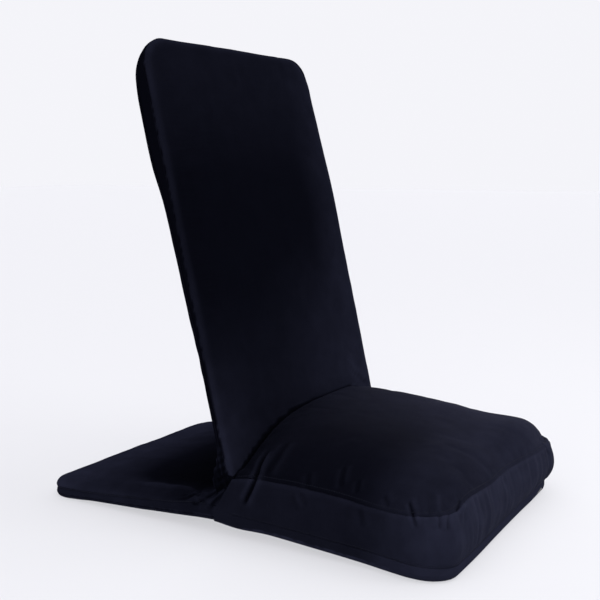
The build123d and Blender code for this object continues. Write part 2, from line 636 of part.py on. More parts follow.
def make_zip_slider():
    """Slider at the closed end of the zip, with its pull laid along the chain."""
    top = -ZIP_TAPE_THICKNESS
    x = ZIP_LENGTH / 2 - SLIDER_LENGTH
    body = block(x, x + SLIDER_LENGTH, ZIP_OFFSET - SLIDER_WIDTH / 2, ZIP_OFFSET + SLIDER_WIDTH / 2,
                 top - SLIDER_THICKNESS, top)
    body = fillet(body.edges().filter_by(Axis.Z), SLIDER_WIDTH / 4)
    channel = block(x - SLIDER_LENGTH, x + 2 * SLIDER_LENGTH, ZIP_OFFSET - ZIP_CHAIN / 2 - STRAP_CLEARANCE,
                    ZIP_OFFSET + ZIP_CHAIN / 2 + STRAP_CLEARANCE, top - ZIP_CHAIN_THICKNESS - STRAP_CLEARANCE, 0)
    floor = top - SLIDER_THICKNESS
    pull = extrude(Pos(x - PULL_LENGTH / 2 + PULL_WIDTH, ZIP_OFFSET) * SlotOverall(PULL_LENGTH, PULL_WIDTH), PULL_THICKNESS)
    eye = extrude(Pos(x - PULL_LENGTH + 2 * PULL_WIDTH, ZIP_OFFSET) * Circle(PULL_WIDTH / 4), PULL_THICKNESS)
    return seat_turn((body - channel) + Pos(0, 0, floor) * (pull - eye))


# ---------------------------------------------------------------- build every node
def main():
    os.makedirs("parts", exist_ok=True)
    pieces = {
        "back_cover": make_back_cover,
        "back_frame_tube": make_back_frame,
        "back_cross_tube": make_back_cross_tube,
        "back_webbing": make_back_webbing,
        "back_foam_pad": make_back_pad,
        "back_tube_plugs": make_back_plugs,
        "back_pivot_bushes": make_back_bushes,
        "seat_cover": make_seat_cover,
        "seat_foam": make_seat_foam,
        "seat_base_cloth": make_seat_base_cloth,
        "seat_frame_tube": make_seat_frame,
        "seat_cross_tube": make_seat_cross_tube,
        "seat_webbing": make_seat_webbing,
        "seat_tube_plugs": make_seat_plugs,
        "bracket_rivets": make_bracket_rivets,
        "back_stop_pins": make_stop_pins,
        "back_pivot_bolts": make_back_bolts,
        "back_pivot_nuts": make_back_nuts,
        "back_pivot_washers": make_back_washers,
        "tail_pivot_bolts": make_tail_bolts,
        "tail_pivot_nuts": make_tail_nuts,
        "tail_pivot_washers": make_tail_washers,
        "rear_gusset": make_rear_gusset,
        "hinge_flap": make_hinge_flap,
        "base_zip": make_zip,
        "zip_slider": make_zip_slider,
        "tail_cover": make_tail_cover,
        "tail_frame_tube": make_tail_frame,
        "tail_cross_tube": make_tail_cross_tube,
        "tail_pad": make_tail_pad,
        "tail_tube_plugs": make_tail_plugs,
    }
    for node, make in pieces.items():
        save(make(), node)
    bracket, arm = make_bracket(), make_tail_arm()
    save(bracket, "hinge_bracket_right")
    save(mirror(bracket, Plane.YZ), "hinge_bracket_left")
    save(arm, "tail_hinge_arm_right")
    save(mirror(arm, Plane.YZ), "tail_hinge_arm_left")
    print("back pivot", BACK_PIVOT, "tail pivot", TAIL_PIVOT, "slopes", SEAT_SLOPE, TAIL_SLOPE)


main()
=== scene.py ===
import math

import bmesh
import bpy
import numpy as np
from bpy.props import FloatProperty, FloatVectorProperty, PointerProperty
from mathutils import Matrix, Vector
from mathutils.kdtree import KDTree


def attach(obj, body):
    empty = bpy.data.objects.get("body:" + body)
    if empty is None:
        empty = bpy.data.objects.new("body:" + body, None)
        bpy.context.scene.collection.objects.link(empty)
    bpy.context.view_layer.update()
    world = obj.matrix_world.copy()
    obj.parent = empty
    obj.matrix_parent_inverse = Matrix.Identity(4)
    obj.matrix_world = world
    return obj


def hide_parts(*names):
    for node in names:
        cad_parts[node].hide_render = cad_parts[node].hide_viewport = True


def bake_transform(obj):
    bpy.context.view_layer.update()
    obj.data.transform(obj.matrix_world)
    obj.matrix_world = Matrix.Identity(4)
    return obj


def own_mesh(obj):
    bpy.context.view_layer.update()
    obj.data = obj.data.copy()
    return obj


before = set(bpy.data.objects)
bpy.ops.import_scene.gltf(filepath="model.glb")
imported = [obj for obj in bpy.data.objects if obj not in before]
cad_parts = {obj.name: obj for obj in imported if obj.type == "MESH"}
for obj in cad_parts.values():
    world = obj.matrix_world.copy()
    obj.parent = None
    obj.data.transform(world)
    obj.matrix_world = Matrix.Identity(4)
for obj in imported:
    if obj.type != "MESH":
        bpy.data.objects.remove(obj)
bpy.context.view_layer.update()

# Dressing of the folding floor chair: cloth covers, seams, stitching, hinge cloth, zip and finishes.
# Shapes are drawn in millimetres in the chair's frame (+Z up, the sitter faces -Y) and become metres
# when a mesh is made.

bl_info = {
    "name": "Folding floor chair",
    "version": (1, 0, 0),
    "blender": (4, 5, 0),
    "location": "3D Viewport > Sidebar > Floor chair",
    "description": "Cloth covers, cushion, seams and finishes of a folding floor chair",
    "category": "Object",
}

# ---------------------------------------------------------------- sizes, in millimetres
MM = 0.001
HALF_WIDTH = 215.0
FOOT_Y = -20.0               # foot of the back's front face
SEAM_Z = 85.0                # upper seam at the foot of the back
LEAN = math.radians(12.9)    # of the back from upright
HINGE_Y, HINGE_Z = 12.0, 19.0
SEAT_SLOPE, TAIL_SLOPE = math.radians(3.44), math.radians(3.7145)


# ---------------------------------------------------------------- numbers and noise
HASH_STEPS = (374761393, 668265263, 2147483647, 1274126177)    # large odd numbers that scatter the bits
HASH_BITS = 0xFFFFFFFF


def smooth(t):
    t = np.clip(t, 0.0, 1.0)
    return t * t * (3 - 2 * t)


def ease(value, start, span):
    """0 at the start and 1 a span away from it, which may be negative; level beyond both."""
    return smooth((value - start) / span)


def bump(value, centre, width):
    return np.exp(-(((value - centre) / width) ** 2))


def through(points, at):
    """Smooth curve through (position, value) pairs, read at the given positions."""
    x, y = np.array(points, float).T
    slope = np.gradient(y, x)
    at = np.clip(at, x[0], x[-1])
    i = np.clip(np.searchsorted(x, at) - 1, 0, len(x) - 2)
    h = x[i + 1] - x[i]
    t = (at - x[i]) / h
    return (
        (2 * t**3 - 3 * t**2 + 1) * y[i] + (t**3 - 2 * t**2 + t) * h * slope[i]
        + (3 * t**2 - 2 * t**3) * y[i + 1] + (t**3 - t**2) * h * slope[i + 1]
    )


def lattice(ix, iy, iz, seed):
    """Repeatable value from -1 to 1 at each point of a whole-number lattice."""
    n = sum(part * step for part, step in zip((ix, iy, iz, seed), HASH_STEPS)) & HASH_BITS
    n = ((n ^ (n >> 13)) * HASH_STEPS[3]) & HASH_BITS
    return ((n ^ (n >> 16)) & 0xFFFF) / 32767.5 - 1.0


def noise(points, scale, seed=1):
    """Smooth value noise of points (n, 3), with features of the given size in millimetres."""
    p = np.asarray(points, float) / scale
    cell = np.floor(p).astype(np.int64)
    f = p - cell
    f = f * f * (3 - 2 * f)
    total = 0.0
    for corner in range(8):
        dx, dy, dz = corner & 1, corner >> 1 & 1, corner >> 2 & 1
        weight = (
            (f[..., 0] if dx else 1 - f[..., 0])
            * (f[..., 1] if dy else 1 - f[..., 1])
            * (f[..., 2] if dz else 1 - f[..., 2])
        )
        total = total + weight * lattice(cell[..., 0] + dx, cell[..., 1] + dy, cell[..., 2] + dz, seed)
    return total


def spaced(length, fine, coarse, growth=1.35):
    """Shares 0 to 1 along a length, closely spaced at both ends."""
    steps, step = [], fine
    while step < coarse and 2 * (sum(steps) + step) < length:
        steps.append(step)
        step *= growth
    middle = max(length - 2 * sum(steps), 0.0)
    count = max(int(round(middle / coarse)), 1)
    steps = steps + [middle / count] * count + steps[::-1]
    return np.concatenate([[0.0], np.cumsum(steps)]) / sum(steps)


def to_points(*coordinates):
    """Points from their coordinates, each of them a number or an array."""
    return np.stack(np.broadcast_arrays(*coordinates), -1)


def lengths(line):
    """Lengths of the pieces of a polyline."""
    return np.linalg.norm(np.diff(line, axis=0), axis=1)


def distances(line):
    """Distance of each point of a polyline from its start, along it."""
    return np.concatenate([[0.0], np.cumsum(lengths(line))])


def along(line, shares):
    """Points at shares of the length of a polyline."""
    line = np.asarray(line, float)
    run = distances(line)
    return np.stack([np.interp(shares * run[-1], run, column) for column in line.T], -1)


def near_line(points, line):
    """Distance of points from a polyline, and the share of its length at the nearest place."""
    line = np.asarray(line, float)
    best, share = np.full(len(points), np.inf), np.zeros(len(points))
    run = distances(line)
    for i in range(len(line) - 1):
        a, ab = line[i], line[i + 1] - line[i]
        t = np.clip(((points - a) @ ab) / (ab @ ab), 0, 1)
        d = np.linalg.norm(points - (a + t[:, None] * ab), axis=1)
        closer = d < best
        best[closer] = d[closer]
        share[closer] = (run[i] + t[closer] * (run[i + 1] - run[i])) / run[-1]
    return best, share


def patch(left, right, rear, front, v, u):
    """Grid of points that fills four boundary curves."""
    v, u = v[:, None, None], u[None, :, None]
    sides = (1 - u) * left[:, None] + u * right[:, None]
    ends = (1 - v) * rear[None] + v * front[None]
    corners = (
        (1 - u) * (1 - v) * left[0] + u * (1 - v) * right[0]
        + (1 - u) * v * left[-1] + u * v * right[-1]
    )
    return sides + ends - corners


# ---------------------------------------------------------------- the back's own frame
def back_place(x, t, s):
    """Points of the back: t behind its front face, s along it above the cushion's seam."""
    y = FOOT_Y + t * math.cos(LEAN) + s * math.sin(LEAN)
    z = SEAM_Z - t * math.sin(LEAN) + s * math.cos(LEAN)
    return to_points(x, y, z)


def back_local(points):
    """Depth behind the back's front face and place along it, for points of the chair."""
    y, z = points[:, 1] - FOOT_Y, points[:, 2] - SEAM_Z
    return y * math.cos(LEAN) - z * math.sin(LEAN), y * math.sin(LEAN) + z * math.cos(LEAN)


# ---------------------------------------------------------------- meshes
WELD = 0.05                     # millimetres within which the edges of neighbouring grids are joined
SLIVER = 1e-12                  # square metres; a face under this has no area left
WEAR_AND_SHADING_LIMITS = (-1.0, 1.3)       # from painted shade to pale, which is partly rubbed wear and partly painted light


class Skin:
    """Collects grids of points into one mesh, with the run of the cloth at each point and its wear with
    painted light and shade.
    """

    def __init__(self):
        self.points, self.faces, self.cloth, self.wear, self.grids = [], [], [], [], []
        self.count = 0

    def grid(self, points, wrap=False, flip=False, weave=None, wear=None):
        """Adds a grid of points (n, m, 3); wrap joins its last column to its first."""
        n, m = points.shape[:2]
        index = self.count + np.arange(n * m).reshape(n, m)
        across = np.concatenate([index, index[:, :1]], 1) if wrap else index
        a, b, c, d = across[:-1, :-1], across[:-1, 1:], across[1:, 1:], across[1:, :-1]
        self.faces.append(np.stack([a, d, c, b] if flip else [a, b, c, d], -1).reshape(-1, 4))
        self.points.append(points.reshape(-1, 3))
        self.grids.append((points, flip))
        if weave is None:
            run_v, run_u = np.zeros((n, m)), np.zeros((n, m))
            run_v[1:] = np.cumsum(np.linalg.norm(np.diff(points, axis=0), axis=2), 0)
            run_u[:, 1:] = np.cumsum(np.linalg.norm(np.diff(points, axis=1), axis=2), 1)
            weave = to_points(run_u, run_v, 0.0)
        self.cloth.append(weave.reshape(-1, 3))
        self.wear.append(np.zeros(n * m) if wear is None else np.asarray(wear, float).reshape(-1))
        self.count += n * m

    def mesh(self, name, merge):
        """Mesh of all the grids, joined where their edges coincide; merge is in millimetres."""
        mesh = bpy.data.meshes.new(name)
        points, faces = np.concatenate(self.points), np.concatenate(self.faces)
        mesh.from_pydata((points * MM).tolist(), [], faces.tolist())
        cloth = mesh.attributes.new("cloth_run", "FLOAT_VECTOR", "POINT")
        cloth.data.foreach_set("vector", (np.concatenate(self.cloth) * MM).astype(np.float32).reshape(-1))
        wear = mesh.attributes.new("wear", "FLOAT", "POINT")
        wear.data.foreach_set("value", np.concatenate(self.wear).astype(np.float32))
        work = bmesh.new()
        work.from_mesh(mesh)
        bmesh.ops.remove_doubles(work, verts=work.verts, dist=merge * MM)
        thin = [face for face in work.faces if face.calc_area() < SLIVER]
        bmesh.ops.delete(work, geom=thin, context="FACES_ONLY")
        work.to_mesh(mesh)
        work.free()
        mesh.update()
        return mesh

    def net(self, spacing):
        """A coarser net of the same grids, for the simulation."""
        coarse = Skin()
        for points, flip in self.grids:
            rows = every(points[:, points.shape[1] // 2], spacing)
            columns = every(points[points.shape[0] // 2], spacing)
            coarse.grid(points[np.ix_(rows, columns)], flip=flip)
        return coarse.mesh("net", WELD)

    def make(self, name, material, move=None, merge=WELD, settle=None):
        """Makes the object. move takes the points and normals in millimetres and gives new points."""
        mesh = self.mesh(name, merge)
        if settle is not None:
            fill_cover(self.net(NET_SPACING), mesh, *settle)
        if move is not None:
            shift_points(mesh, move)
        mesh.polygons.foreach_set("use_smooth", np.ones(len(mesh.polygons), bool))
        piece = bpy.data.objects.new(name, mesh)
        bpy.context.scene.collection.objects.link(piece)
        piece.data.materials.append(material)
        return piece


def mesh_vectors(elements, key):
    """One vector of each point of a mesh."""
    found = np.empty(len(elements) * 3, np.float64)
    elements.foreach_get(key, found)
    return found.reshape(-1, 3)


def set_points(mesh, points):
    mesh.vertices.foreach_set("co", (points * MM).reshape(-1))
    mesh.update()


def shift_points(mesh, move):
    """Moves the cloth; sharp ridges are painted paler, partly as rubbed wear and partly as painted highlight,
    and the bottoms of folds get painted shade.
    """
    moved, sharp = move(mesh_vectors(mesh.vertices, "co") / MM, mesh_vectors(mesh.vertices, "normal"))
    wear = np.empty(len(mesh.vertices), np.float32)
    layer = mesh.attributes["wear"].data
    layer.foreach_get("value", wear)
    # painted highlight on the ridges and painted shade in the bottoms of folds
    rub = 0.10 * np.clip(sharp, 0, 2.5) + 0.15 * np.clip(sharp, -4, 0)
    layer.foreach_set("value", np.clip(wear + rub, *WEAR_AND_SHADING_LIMITS).astype(np.float32))
    set_points(mesh, moved)


CREASE_FADE = 0.18              # share of a crease's length over which it fades, at each end
LIP_PLACE = 1.6                 # how far out its lips stand, in widths of a lip


def crease(points, line, depth, width, lip, lip_width):
    """Offset along the normal for a folded line: a groove with soft lips, fading at both ends."""
    d, share = near_line(points, line)
    ends = smooth(share / CREASE_FADE) * smooth((1 - share) / CREASE_FADE)
    return (-depth * bump(d, 0, width) + lip * bump(d, LIP_PLACE * lip_width, lip_width)) * ends


# ---------------------------------------------------------------- covers drawn over their filling
NET_SPACING = 7.5               # of the net that is simulated
FILLING_FRAMES = 20
FILLING_CAP = 5.0               # as far as the simulation may move a point
BACK_PUCKERS, CUSHION_PUCKERS, TAIL_PUCKERS = 0.6, 0.45, 0.8     # share of its puckers that a cover shows
FILLING = {
    "quality": 6, "mass": 0.3, "bending_stiffness": 0.3, "shrink_min": -0.02, "vertex_group_mass": "held",
    "use_pressure": True, "uniform_pressure_force": 4.0,
}
SWELLING = (60, 28.0)           # nearest points and their reach, for the broad swelling that is left out
SWELLING_LEFT_OUT = 0.9
PUCKERING = (9, 6.0)            # the same for the puckers that the fine mesh takes over


def every(line, spacing):
    """Indices of the points of a line that stand about this far apart, with both ends."""
    run = distances(line)
    count = max(int(round(run[-1] / spacing)), 2)
    return np.unique(np.searchsorted(run, np.linspace(0, run[-1], count + 1)).clip(0, len(line) - 1))


def spread(tree, values, points, count, reach):
    """Smooth average of the nearest values at each point."""
    found = np.empty_like(points)
    for i, point in enumerate(points):
        near = tree.find_n(point, count)
        weight = bump(np.array([n[2] for n in near]), 0, reach) + 1e-9
        found[i] = (values[[n[1] for n in near]] * weight[:, None]).sum(0) / weight.sum()
    return found


def fill_cover(net, mesh, held, share):
    """Simulates the slack cover over its filling, and gives the fine mesh the same puckers."""
    scene = bpy.context.scene
    piece = bpy.data.objects.new("net", net)
    scene.collection.objects.link(piece)
    before = mesh_vectors(net.vertices, "co") / MM
    pins = piece.vertex_groups.new(name="held")
    for i, weight in enumerate(np.clip(held(before), 0, 1)):
        pins.add([i], float(weight), "REPLACE")
    cloth = piece.modifiers.new("filling", "CLOTH")
    for key, setting in FILLING.items():
        setattr(cloth.settings, key, setting)
    cloth.settings.effector_weights.gravity = 0.0
    for step in range(FILLING_FRAMES):
        scene.frame_set(step + 1)
    settled = piece.evaluated_get(bpy.context.evaluated_depsgraph_get())
    moved = mesh_vectors(settled.to_mesh().vertices, "co") / MM - before
    settled.to_mesh_clear()
    tree = KDTree(len(before))
    for i, point in enumerate(before):
        tree.insert(point, i)
    tree.balance()
    puckers = moved - SWELLING_LEFT_OUT * spread(tree, moved, before, *SWELLING)
    puckers = puckers * (FILLING_CAP / np.maximum(np.linalg.norm(puckers, axis=1), FILLING_CAP))[:, None]
    points = mesh_vectors(mesh.vertices, "co") / MM
    set_points(mesh, points + spread(tree, puckers, points, *PUCKERING) * share)
    scene.frame_set(1)
    bpy.data.objects.remove(piece)
    bpy.data.meshes.remove(net)


# ---------------------------------------------------------------- shader expressions
class Value:
    """A node socket that takes part in sums and products."""

    def __init__(self, nodes, socket):
        self.nodes, self.socket = nodes, socket

    def maths(self, operation, *terms):
        return self.nodes.value("ShaderNodeMath", {"operation": operation}, dict(enumerate(terms)))

    def __add__(self, other):
        return self.maths("ADD", self, other)

    def __radd__(self, other):
        return self.maths("ADD", other, self)

    def __sub__(self, other):
        return self.maths("SUBTRACT", self, other)

    def __rsub__(self, other):
        return self.maths("SUBTRACT", other, self)

    def __mul__(self, other):
        return self.maths("MULTIPLY", self, other)

    def sine(self):
        return self.maths("SINE", self)

    def clamped(self):
        return self.nodes.value("ShaderNodeClamp", {}, {"Value": self})

    def above(self, low, high, level=1.0):
        """0 below low, the level above high, and smooth between them."""
        return self.nodes.value(
            "ShaderNodeMapRange", {"interpolation_type": "SMOOTHSTEP"},
            {"Value": self, "From Min": low, "From Max": high, "To Max": level},
        )


class Nodes:
    """A node tree, with one way to add a node and to fill its sockets."""

    def __init__(self, tree):
        self.tree = tree

    def add(self, kind, settings=None, sockets=None):
        node = self.tree.nodes.new(kind)
        for key, setting in (settings or {}).items():
            setattr(node, key, setting)
        self.set(node, sockets or {})
        return node

    def set(self, node, sockets):
        for key, content in sockets.items():
            if isinstance(content, Value):
                self.tree.links.new(content.socket, node.inputs[key])
            elif isinstance(content, tuple) and len(content) == 3 and node.inputs[key].type == "RGBA":
                node.inputs[key].default_value = (*content, 1.0)
            else:
                node.inputs[key].default_value = content

    def value(self, kind, settings=None, sockets=None, output=0):
        return Value(self, self.add(kind, settings, sockets).outputs[output])


class Finish(Nodes):
    """One material and its Principled surface."""

    def __init__(self, name, **constants):
        self.material = bpy.data.materials.new(name)
        self.material.use_nodes = True
        super().__init__(self.material.node_tree)
        self.surface = self.tree.nodes["Principled BSDF"]
        self.set(self.surface, constants)

    def mix(self, share, one, other):
        """Colour mix; a node's own colour sockets are numbers 6 and 7."""
        return self.value("ShaderNodeMix", {"data_type": "RGBA"}, {0: share, 6: one, 7: other}, 2)

    def noise(self, vector, scale, detail=2.0, roughness=0.5):
        return self.value(
            "ShaderNodeTexNoise", {},
            {"Vector": vector, "Scale": scale, "Detail": detail, "Roughness": roughness},
        )

    def scaled(self, vector, scales):
        return self.value("ShaderNodeVectorMath", {"operation": "MULTIPLY"}, {0: vector, 1: scales})

    def parts(self, vector):
        split = self.add("ShaderNodeSeparateXYZ", {}, {0: vector})
        return [Value(self, out) for out in split.outputs]

    def attribute(self, name, output="Vector"):
        return self.value("ShaderNodeAttribute", {"attribute_name": name}, {}, output)

    def object_place(self):
        return self.value("ShaderNodeTexCoord", {}, {}, "Object")

    def relief(self, height, strength, distance):
        """Bump on the surface's normal, in metres."""
        node = self.add("ShaderNodeBump", {}, {"Height": height, "Strength": strength, "Distance": distance})
        self.tree.links.new(node.outputs[0], self.surface.inputs["Normal"])

    def two_tone(self, share, one, other, roughness, relief=None):
        """A plain material: its colour between two tones, its roughness and its relief."""
        self.set(self.surface, {"Base Color": self.mix(share, one, other), "Roughness": roughness})
        if relief is not None:
            self.relief(*relief)
        return self.material


THREAD_TONES = (1.35, 1.5)                # how much brighter than its colour the cloth's threads get
SLUBS_PER_THREAD, SLUBS_PER_METRE = 2.2, 14.0
# Scale, detail and roughness of the cloth's noises
MOTTLE, PATCHES, LINT_SPECKS = (9.0, 3.0), (34.0, 4.0, 0.6), (420.0, 2.0, 0.7)
LINT = (0.08, 0.08, 0.10)
# black that paints shade into creases and pockets
PAINTED_SHADE_TONE = (0.0, 0.0, 0.0)
CANVAS_FADED_AND_LIT = (0.0150, 0.0162, 0.0295)    # pale of cloth faded by sun and hands, and the colour of painted light
SHEEN_TINT = (0.53, 0.56, 1.0)


def cloth_finish(name, colour, pitch, relief, **constants):
    """Woven cloth: crossing threads with slubs, mottling, lint and rubbed edges, with painted light and shade
    mixed into its colour from its wear attribute.
    """
    finish = Finish(name, **constants)
    run = finish.attribute("cloth_run")
    u, v, _ = finish.parts(run)
    wave = 2 * math.pi / pitch
    warp = (u * wave).sine()
    weft = (v * wave).sine()
    across, lengthwise = SLUBS_PER_THREAD / pitch, SLUBS_PER_METRE
    slub_u = finish.noise(finish.scaled(run, (across, lengthwise, 1.0)), 1.0)
    slub_v = finish.noise(finish.scaled(run, (lengthwise, across, 1.0)), 1.0)
    weave = warp * weft * 0.5 + slub_u * 0.8 + slub_v * 0.8
    place = finish.object_place()
    mottle, patches = finish.noise(place, *MOTTLE), finish.noise(place, *PATCHES)
    lint = finish.noise(place, *LINT_SPECKS).above(0.72, 0.80)
    wear = finish.attribute("wear", "Fac")
    paled_by_wear_and_light = (wear * (0.55 + patches * 0.9)).clamped()
    bright, brightest = (tuple(share * c for c in colour) for share in THREAD_TONES)
    tone = finish.mix((mottle * 0.5 + patches * 0.5).above(0.3, 0.7), colour, bright)
    thread = finish.mix((slub_u * 0.5 + slub_v * 0.5).above(0.38, 0.62), tone, brightest)
    # painted light towards the pale tone, partly faded wear, and painted shade towards black
    worn_and_lit = finish.mix(paled_by_wear_and_light * 0.75, thread, CANVAS_FADED_AND_LIT)
    shaded = finish.mix((wear * -1.0).clamped(), worn_and_lit, PAINTED_SHADE_TONE)
    roughness = 0.84 + mottle * 0.10 - paled_by_wear_and_light * 0.08
    return finish.two_tone(lint * 0.08, shaded, LINT, roughness, (weave, 0.5, relief))


# Setting of its colour, thread pitch in millimetres (or None for the setting), height of its weave in
# metres, share of the sheen and specular level. These are lit and shaded copies of one canvas: more sheen and
# specular paint light on the cushion, less sheen paints shade on the back and still less on the tail.
CLOTHS = {
    "canvas": ("canvas_colour", None, 0.00022, 1.1, 0.007),
    "matt_canvas": ("canvas_colour", None, 0.00022, 0.75, 0.0),
    "tail_canvas": ("canvas_colour", None, 0.00022, 0.42, 0.0),
    "base_cloth": ("base_colour", 0.6, 0.00012, 1.0, 0.0),
}


def make_cloth(name):
    look = bpy.context.scene.chair_cloth
    colour, pitch, relief, sheen, specular = CLOTHS[name]
    return cloth_finish(name, tuple(getattr(look, colour)), (pitch or look.weave_pitch) * MM, relief, **{
        "Sheen Weight": look.canvas_sheen * sheen, "Sheen Roughness": 0.45, "Sheen Tint": SHEEN_TINT,
        "Specular IOR Level": specular, "Specular Tint": SHEEN_TINT,
    })


def make_thread(name):
    finish = Finish(name, **{"Specular IOR Level": 0.05, "Sheen Weight": 0.012, "Sheen Tint": SHEEN_TINT})
    twist = finish.noise(finish.object_place(), 1800.0, 1.0)
    dark, pale = (0.0036, 0.0040, 0.0076), (0.0080, 0.0088, 0.0160)
    return finish.two_tone(twist, dark, pale, 0.55 + twist * 0.2, (twist, 0.4, 0.0001))


def make_nylon(name):
    finish = Finish(name, **{"Specular IOR Level": 0.4})
    grain = finish.noise(finish.object_place(), 900.0, 3.0)
    scuff = finish.noise(finish.scaled(finish.object_place(), (30.0, 160.0, 30.0)), 1.0, 3.0)
    clean, scuffed = (0.024, 0.024, 0.026), (0.060, 0.060, 0.062)
    return finish.two_tone(scuff.above(0.55, 0.8), clean, scuffed, 0.42 + grain * 0.2, (grain, 0.25, 0.0002))


def make_zinc(name):
    finish = Finish(name, **{"Metallic": 1.0})
    spangle = finish.noise(finish.object_place(), 240.0, 3.0)
    rub = finish.noise(finish.scaled(finish.object_place(), (40.0, 700.0, 700.0)), 1.0, 2.0)
    dull, bright = (0.42, 0.42, 0.41), (0.62, 0.61, 0.57)
    return finish.two_tone(spangle.above(0.3, 0.7), dull, bright, 0.26 + rub * 0.25, (rub, 0.2, 0.0001))


def make_frame_paint(name):
    finish = Finish(name, **{"Specular IOR Level": 0.5, "Coat Roughness": 0.3})
    peel = finish.noise(finish.object_place(), 500.0, 2.0)
    chips = finish.noise(finish.object_place(), 150.0, 4.0, 0.7).above(0.70, 0.74)
    finish.set(finish.surface, {"Coat Weight": 0.15 - chips * 0.15})
    paint, bare = (0.012, 0.012, 0.013), (0.14, 0.13, 0.125)
    return finish.two_tone(chips, paint, bare, 0.34 + peel * 0.15 + chips * 0.2, (peel, 0.2, 0.00025))


def make_zip_tape(name):
    finish = Finish(name, **{"Specular IOR Level": 0.25, "Sheen Weight": 0.15})
    x, y, _ = finish.parts(finish.object_place())
    twill = ((x + y) * 5200.0).sine()
    share = (twill * 0.5 + 0.5).clamped()
    dark, pale = (0.008, 0.008, 0.010), (0.016, 0.016, 0.020)
    return finish.two_tone(share, dark, pale, 0.8 + twill * 0.05, (twill, 0.4, 0.0001))


def make_zip_metal(name):
    finish = Finish(name, **{"Specular IOR Level": 0.5, "Metallic": 0.6})
    rub = finish.noise(finish.object_place(), 380.0, 3.0).above(0.55, 0.75)
    return finish.two_tone(rub, (0.020, 0.020, 0.022), (0.22, 0.21, 0.19), 0.30 + rub * 0.2)


FINISH_MAKERS = {
    **dict.fromkeys(CLOTHS, make_cloth),
    "thread": make_thread,
    "nylon": make_nylon,
    "zinc_steel": make_zinc,
    "frame_paint": make_frame_paint,
    "zip_tape": make_zip_tape,
    "zip_metal": make_zip_metal,
}
FINISHES = {}


def chair_finish(name):
    """Each finish is made once, when a piece first asks for it."""
    if name not in FINISHES:
        FINISHES[name] = FINISH_MAKERS[name](name)
    return FINISHES[name]


# ---------------------------------------------------------------- flat leaves in plan
EIGHTH = math.pi / 4            # of a full turn


def inside_outline(flat, outline):
    """Distance of each point of a plan from its outline."""
    return near_line(flat.reshape(-1, 2), outline)[0].reshape(flat.shape[:2])


def leaf_plan(near_half, far_half, start, end, near_corner, far_corner, fine, coarse, growth=1.35):
    """Grid over a leaf's plan, from its straight start to its end with two round corners.

    near_half and far_half give the half widths at a distance along the leaf; near is -X."""
    def arc(centre, corner, first, last):
        turn = np.linspace(first, last, 24)
        return to_points(centre + corner * np.cos(turn), end - corner + corner * np.sin(turn))

    def side(sign, half_at, corner):
        run = np.linspace(start, end - corner, 80)
        half = half_at(run)
        centre = half[-1] - corner
        line = np.concatenate([to_points(half, run), arc(centre, corner, 0, EIGHTH)[1:]])
        return line * (sign, 1), arc(centre, corner, EIGHTH, 2 * EIGHTH) * (sign, 1)

    (left, near_arc), (right, far_arc) = side(-1, near_half, near_corner), side(1, far_half, far_corner)
    share = np.linspace(0, 1, 40)[:, None]
    across = near_arc[-1] * (1 - share) + far_arc[-1] * share
    end_edge = np.concatenate([near_arc[:-1], across, far_arc[::-1][1:]])
    start_edge = to_points(np.linspace(left[0][0], right[0][0], 40), start)
    rows, columns = (spaced(length, fine, coarse, growth) for length in (abs(end - start), 2 * HALF_WIDTH))
    flat = patch(
        along(left, rows), along(right, rows), along(start_edge, columns), along(end_edge, columns),
        rows, columns,
    )
    return flat, inside_outline(flat, np.concatenate([left, end_edge[1:-1], right[::-1]]))


def plan_border(flat):
    """The open border of a leaf's grid: up the near side, across the end and down the far side."""
    return np.concatenate([flat[:, 0], flat[-1, 1:], flat[::-1][1:, -1]])


def rim(inside, width, height=None):
    """Drop of a rounded edge at a distance inside the outline."""
    share = 1 - np.minimum(inside, width) / width
    return (width if height is None else height) * (1 - np.sqrt(np.maximum(1 - share**2, 0)))


# ---------------------------------------------------------------- back cover
BACK_TOP = 604.2                # end of the back's cloth, along its front face
BACK_GRID = (1.1, 6.0)          # spacing of its grid, at the edges and in the middle
BACK_CORNERS, BACK_REAR_CORNERS = (50.0, 57.0), (50.0, 50.0)
BACK_THICKNESS = [(-30, 19.0), (0, 19.0), (75, 19.1), (190, 20.4), (330, 24.0), (400, 26.4), (440, 30.0),
                  (515, 30.6), (560, 31.0), (602, 24.5)]
# Pulls on the far side of its foot: x and place along the back; depth, width, lip and lip width
BACK_PULLS = (
    (((136, 98), (160, 76), (184, 58), (206, 45)), 1.8, 2.8, 1.5, 4.0),
    (((112, 62), (146, 60), (180, 53), (206, 45)), 0.9, 3.2, 0.6, 4.5),
)


def back_near_half(s):
    return HALF_WIDTH - 0.5 - 1.5 * (1 - smooth(s / 60))


def back_far_half(s):
    """The far side draws in a little towards the top."""
    return HALF_WIDTH + 1.8 - 10.4 * ease(s, 350, 220)


def back_full_half(s):
    """Behind its front face the far side stays full, over the frame."""
    return np.full_like(s, HALF_WIDTH - 1.6)


def back_front_rim(x):
    """How far round the front edge turns: less on the far side, where the frame fills the cloth."""
    return 8.0 - 5.5 * ease(x, 150, 45)


def back_thickness(s):
    return through(BACK_THICKNESS, s)


def back_rear_rim(s):
    """The rear edge is rounder low down, where the cloth is drawn round the tube, and at the top."""
    return 9.8 - 4.3 * ease(s, 300, 150) + 13.0 * ease(s, 520, 75)


def back_cloth_moves(points, normals):
    """Slack and tension of the back's cover."""
    depth, s = back_local(points)
    rear = ease(depth, 12, 10)
    slack = 0.7 * noise(points * (1, 1, 0.6), 55, 3) + 0.35 * noise(points, 21, 4)
    ripples = 1.1 * noise(points * (0.6, 1, 1), 38, 5) + 1.0 * bump(s, 150, 9) - 1.1 * bump(s, 168, 8)
    pulls = 0.0
    for path, *shape in BACK_PULLS:
        x, up = np.array(path).T
        pulls = pulls + crease(points, back_place(x, 0, up), *shape)
    off = (slack + rear * ripples) * smooth(s / 40) + pulls
    return points + normals * off[:, None], pulls


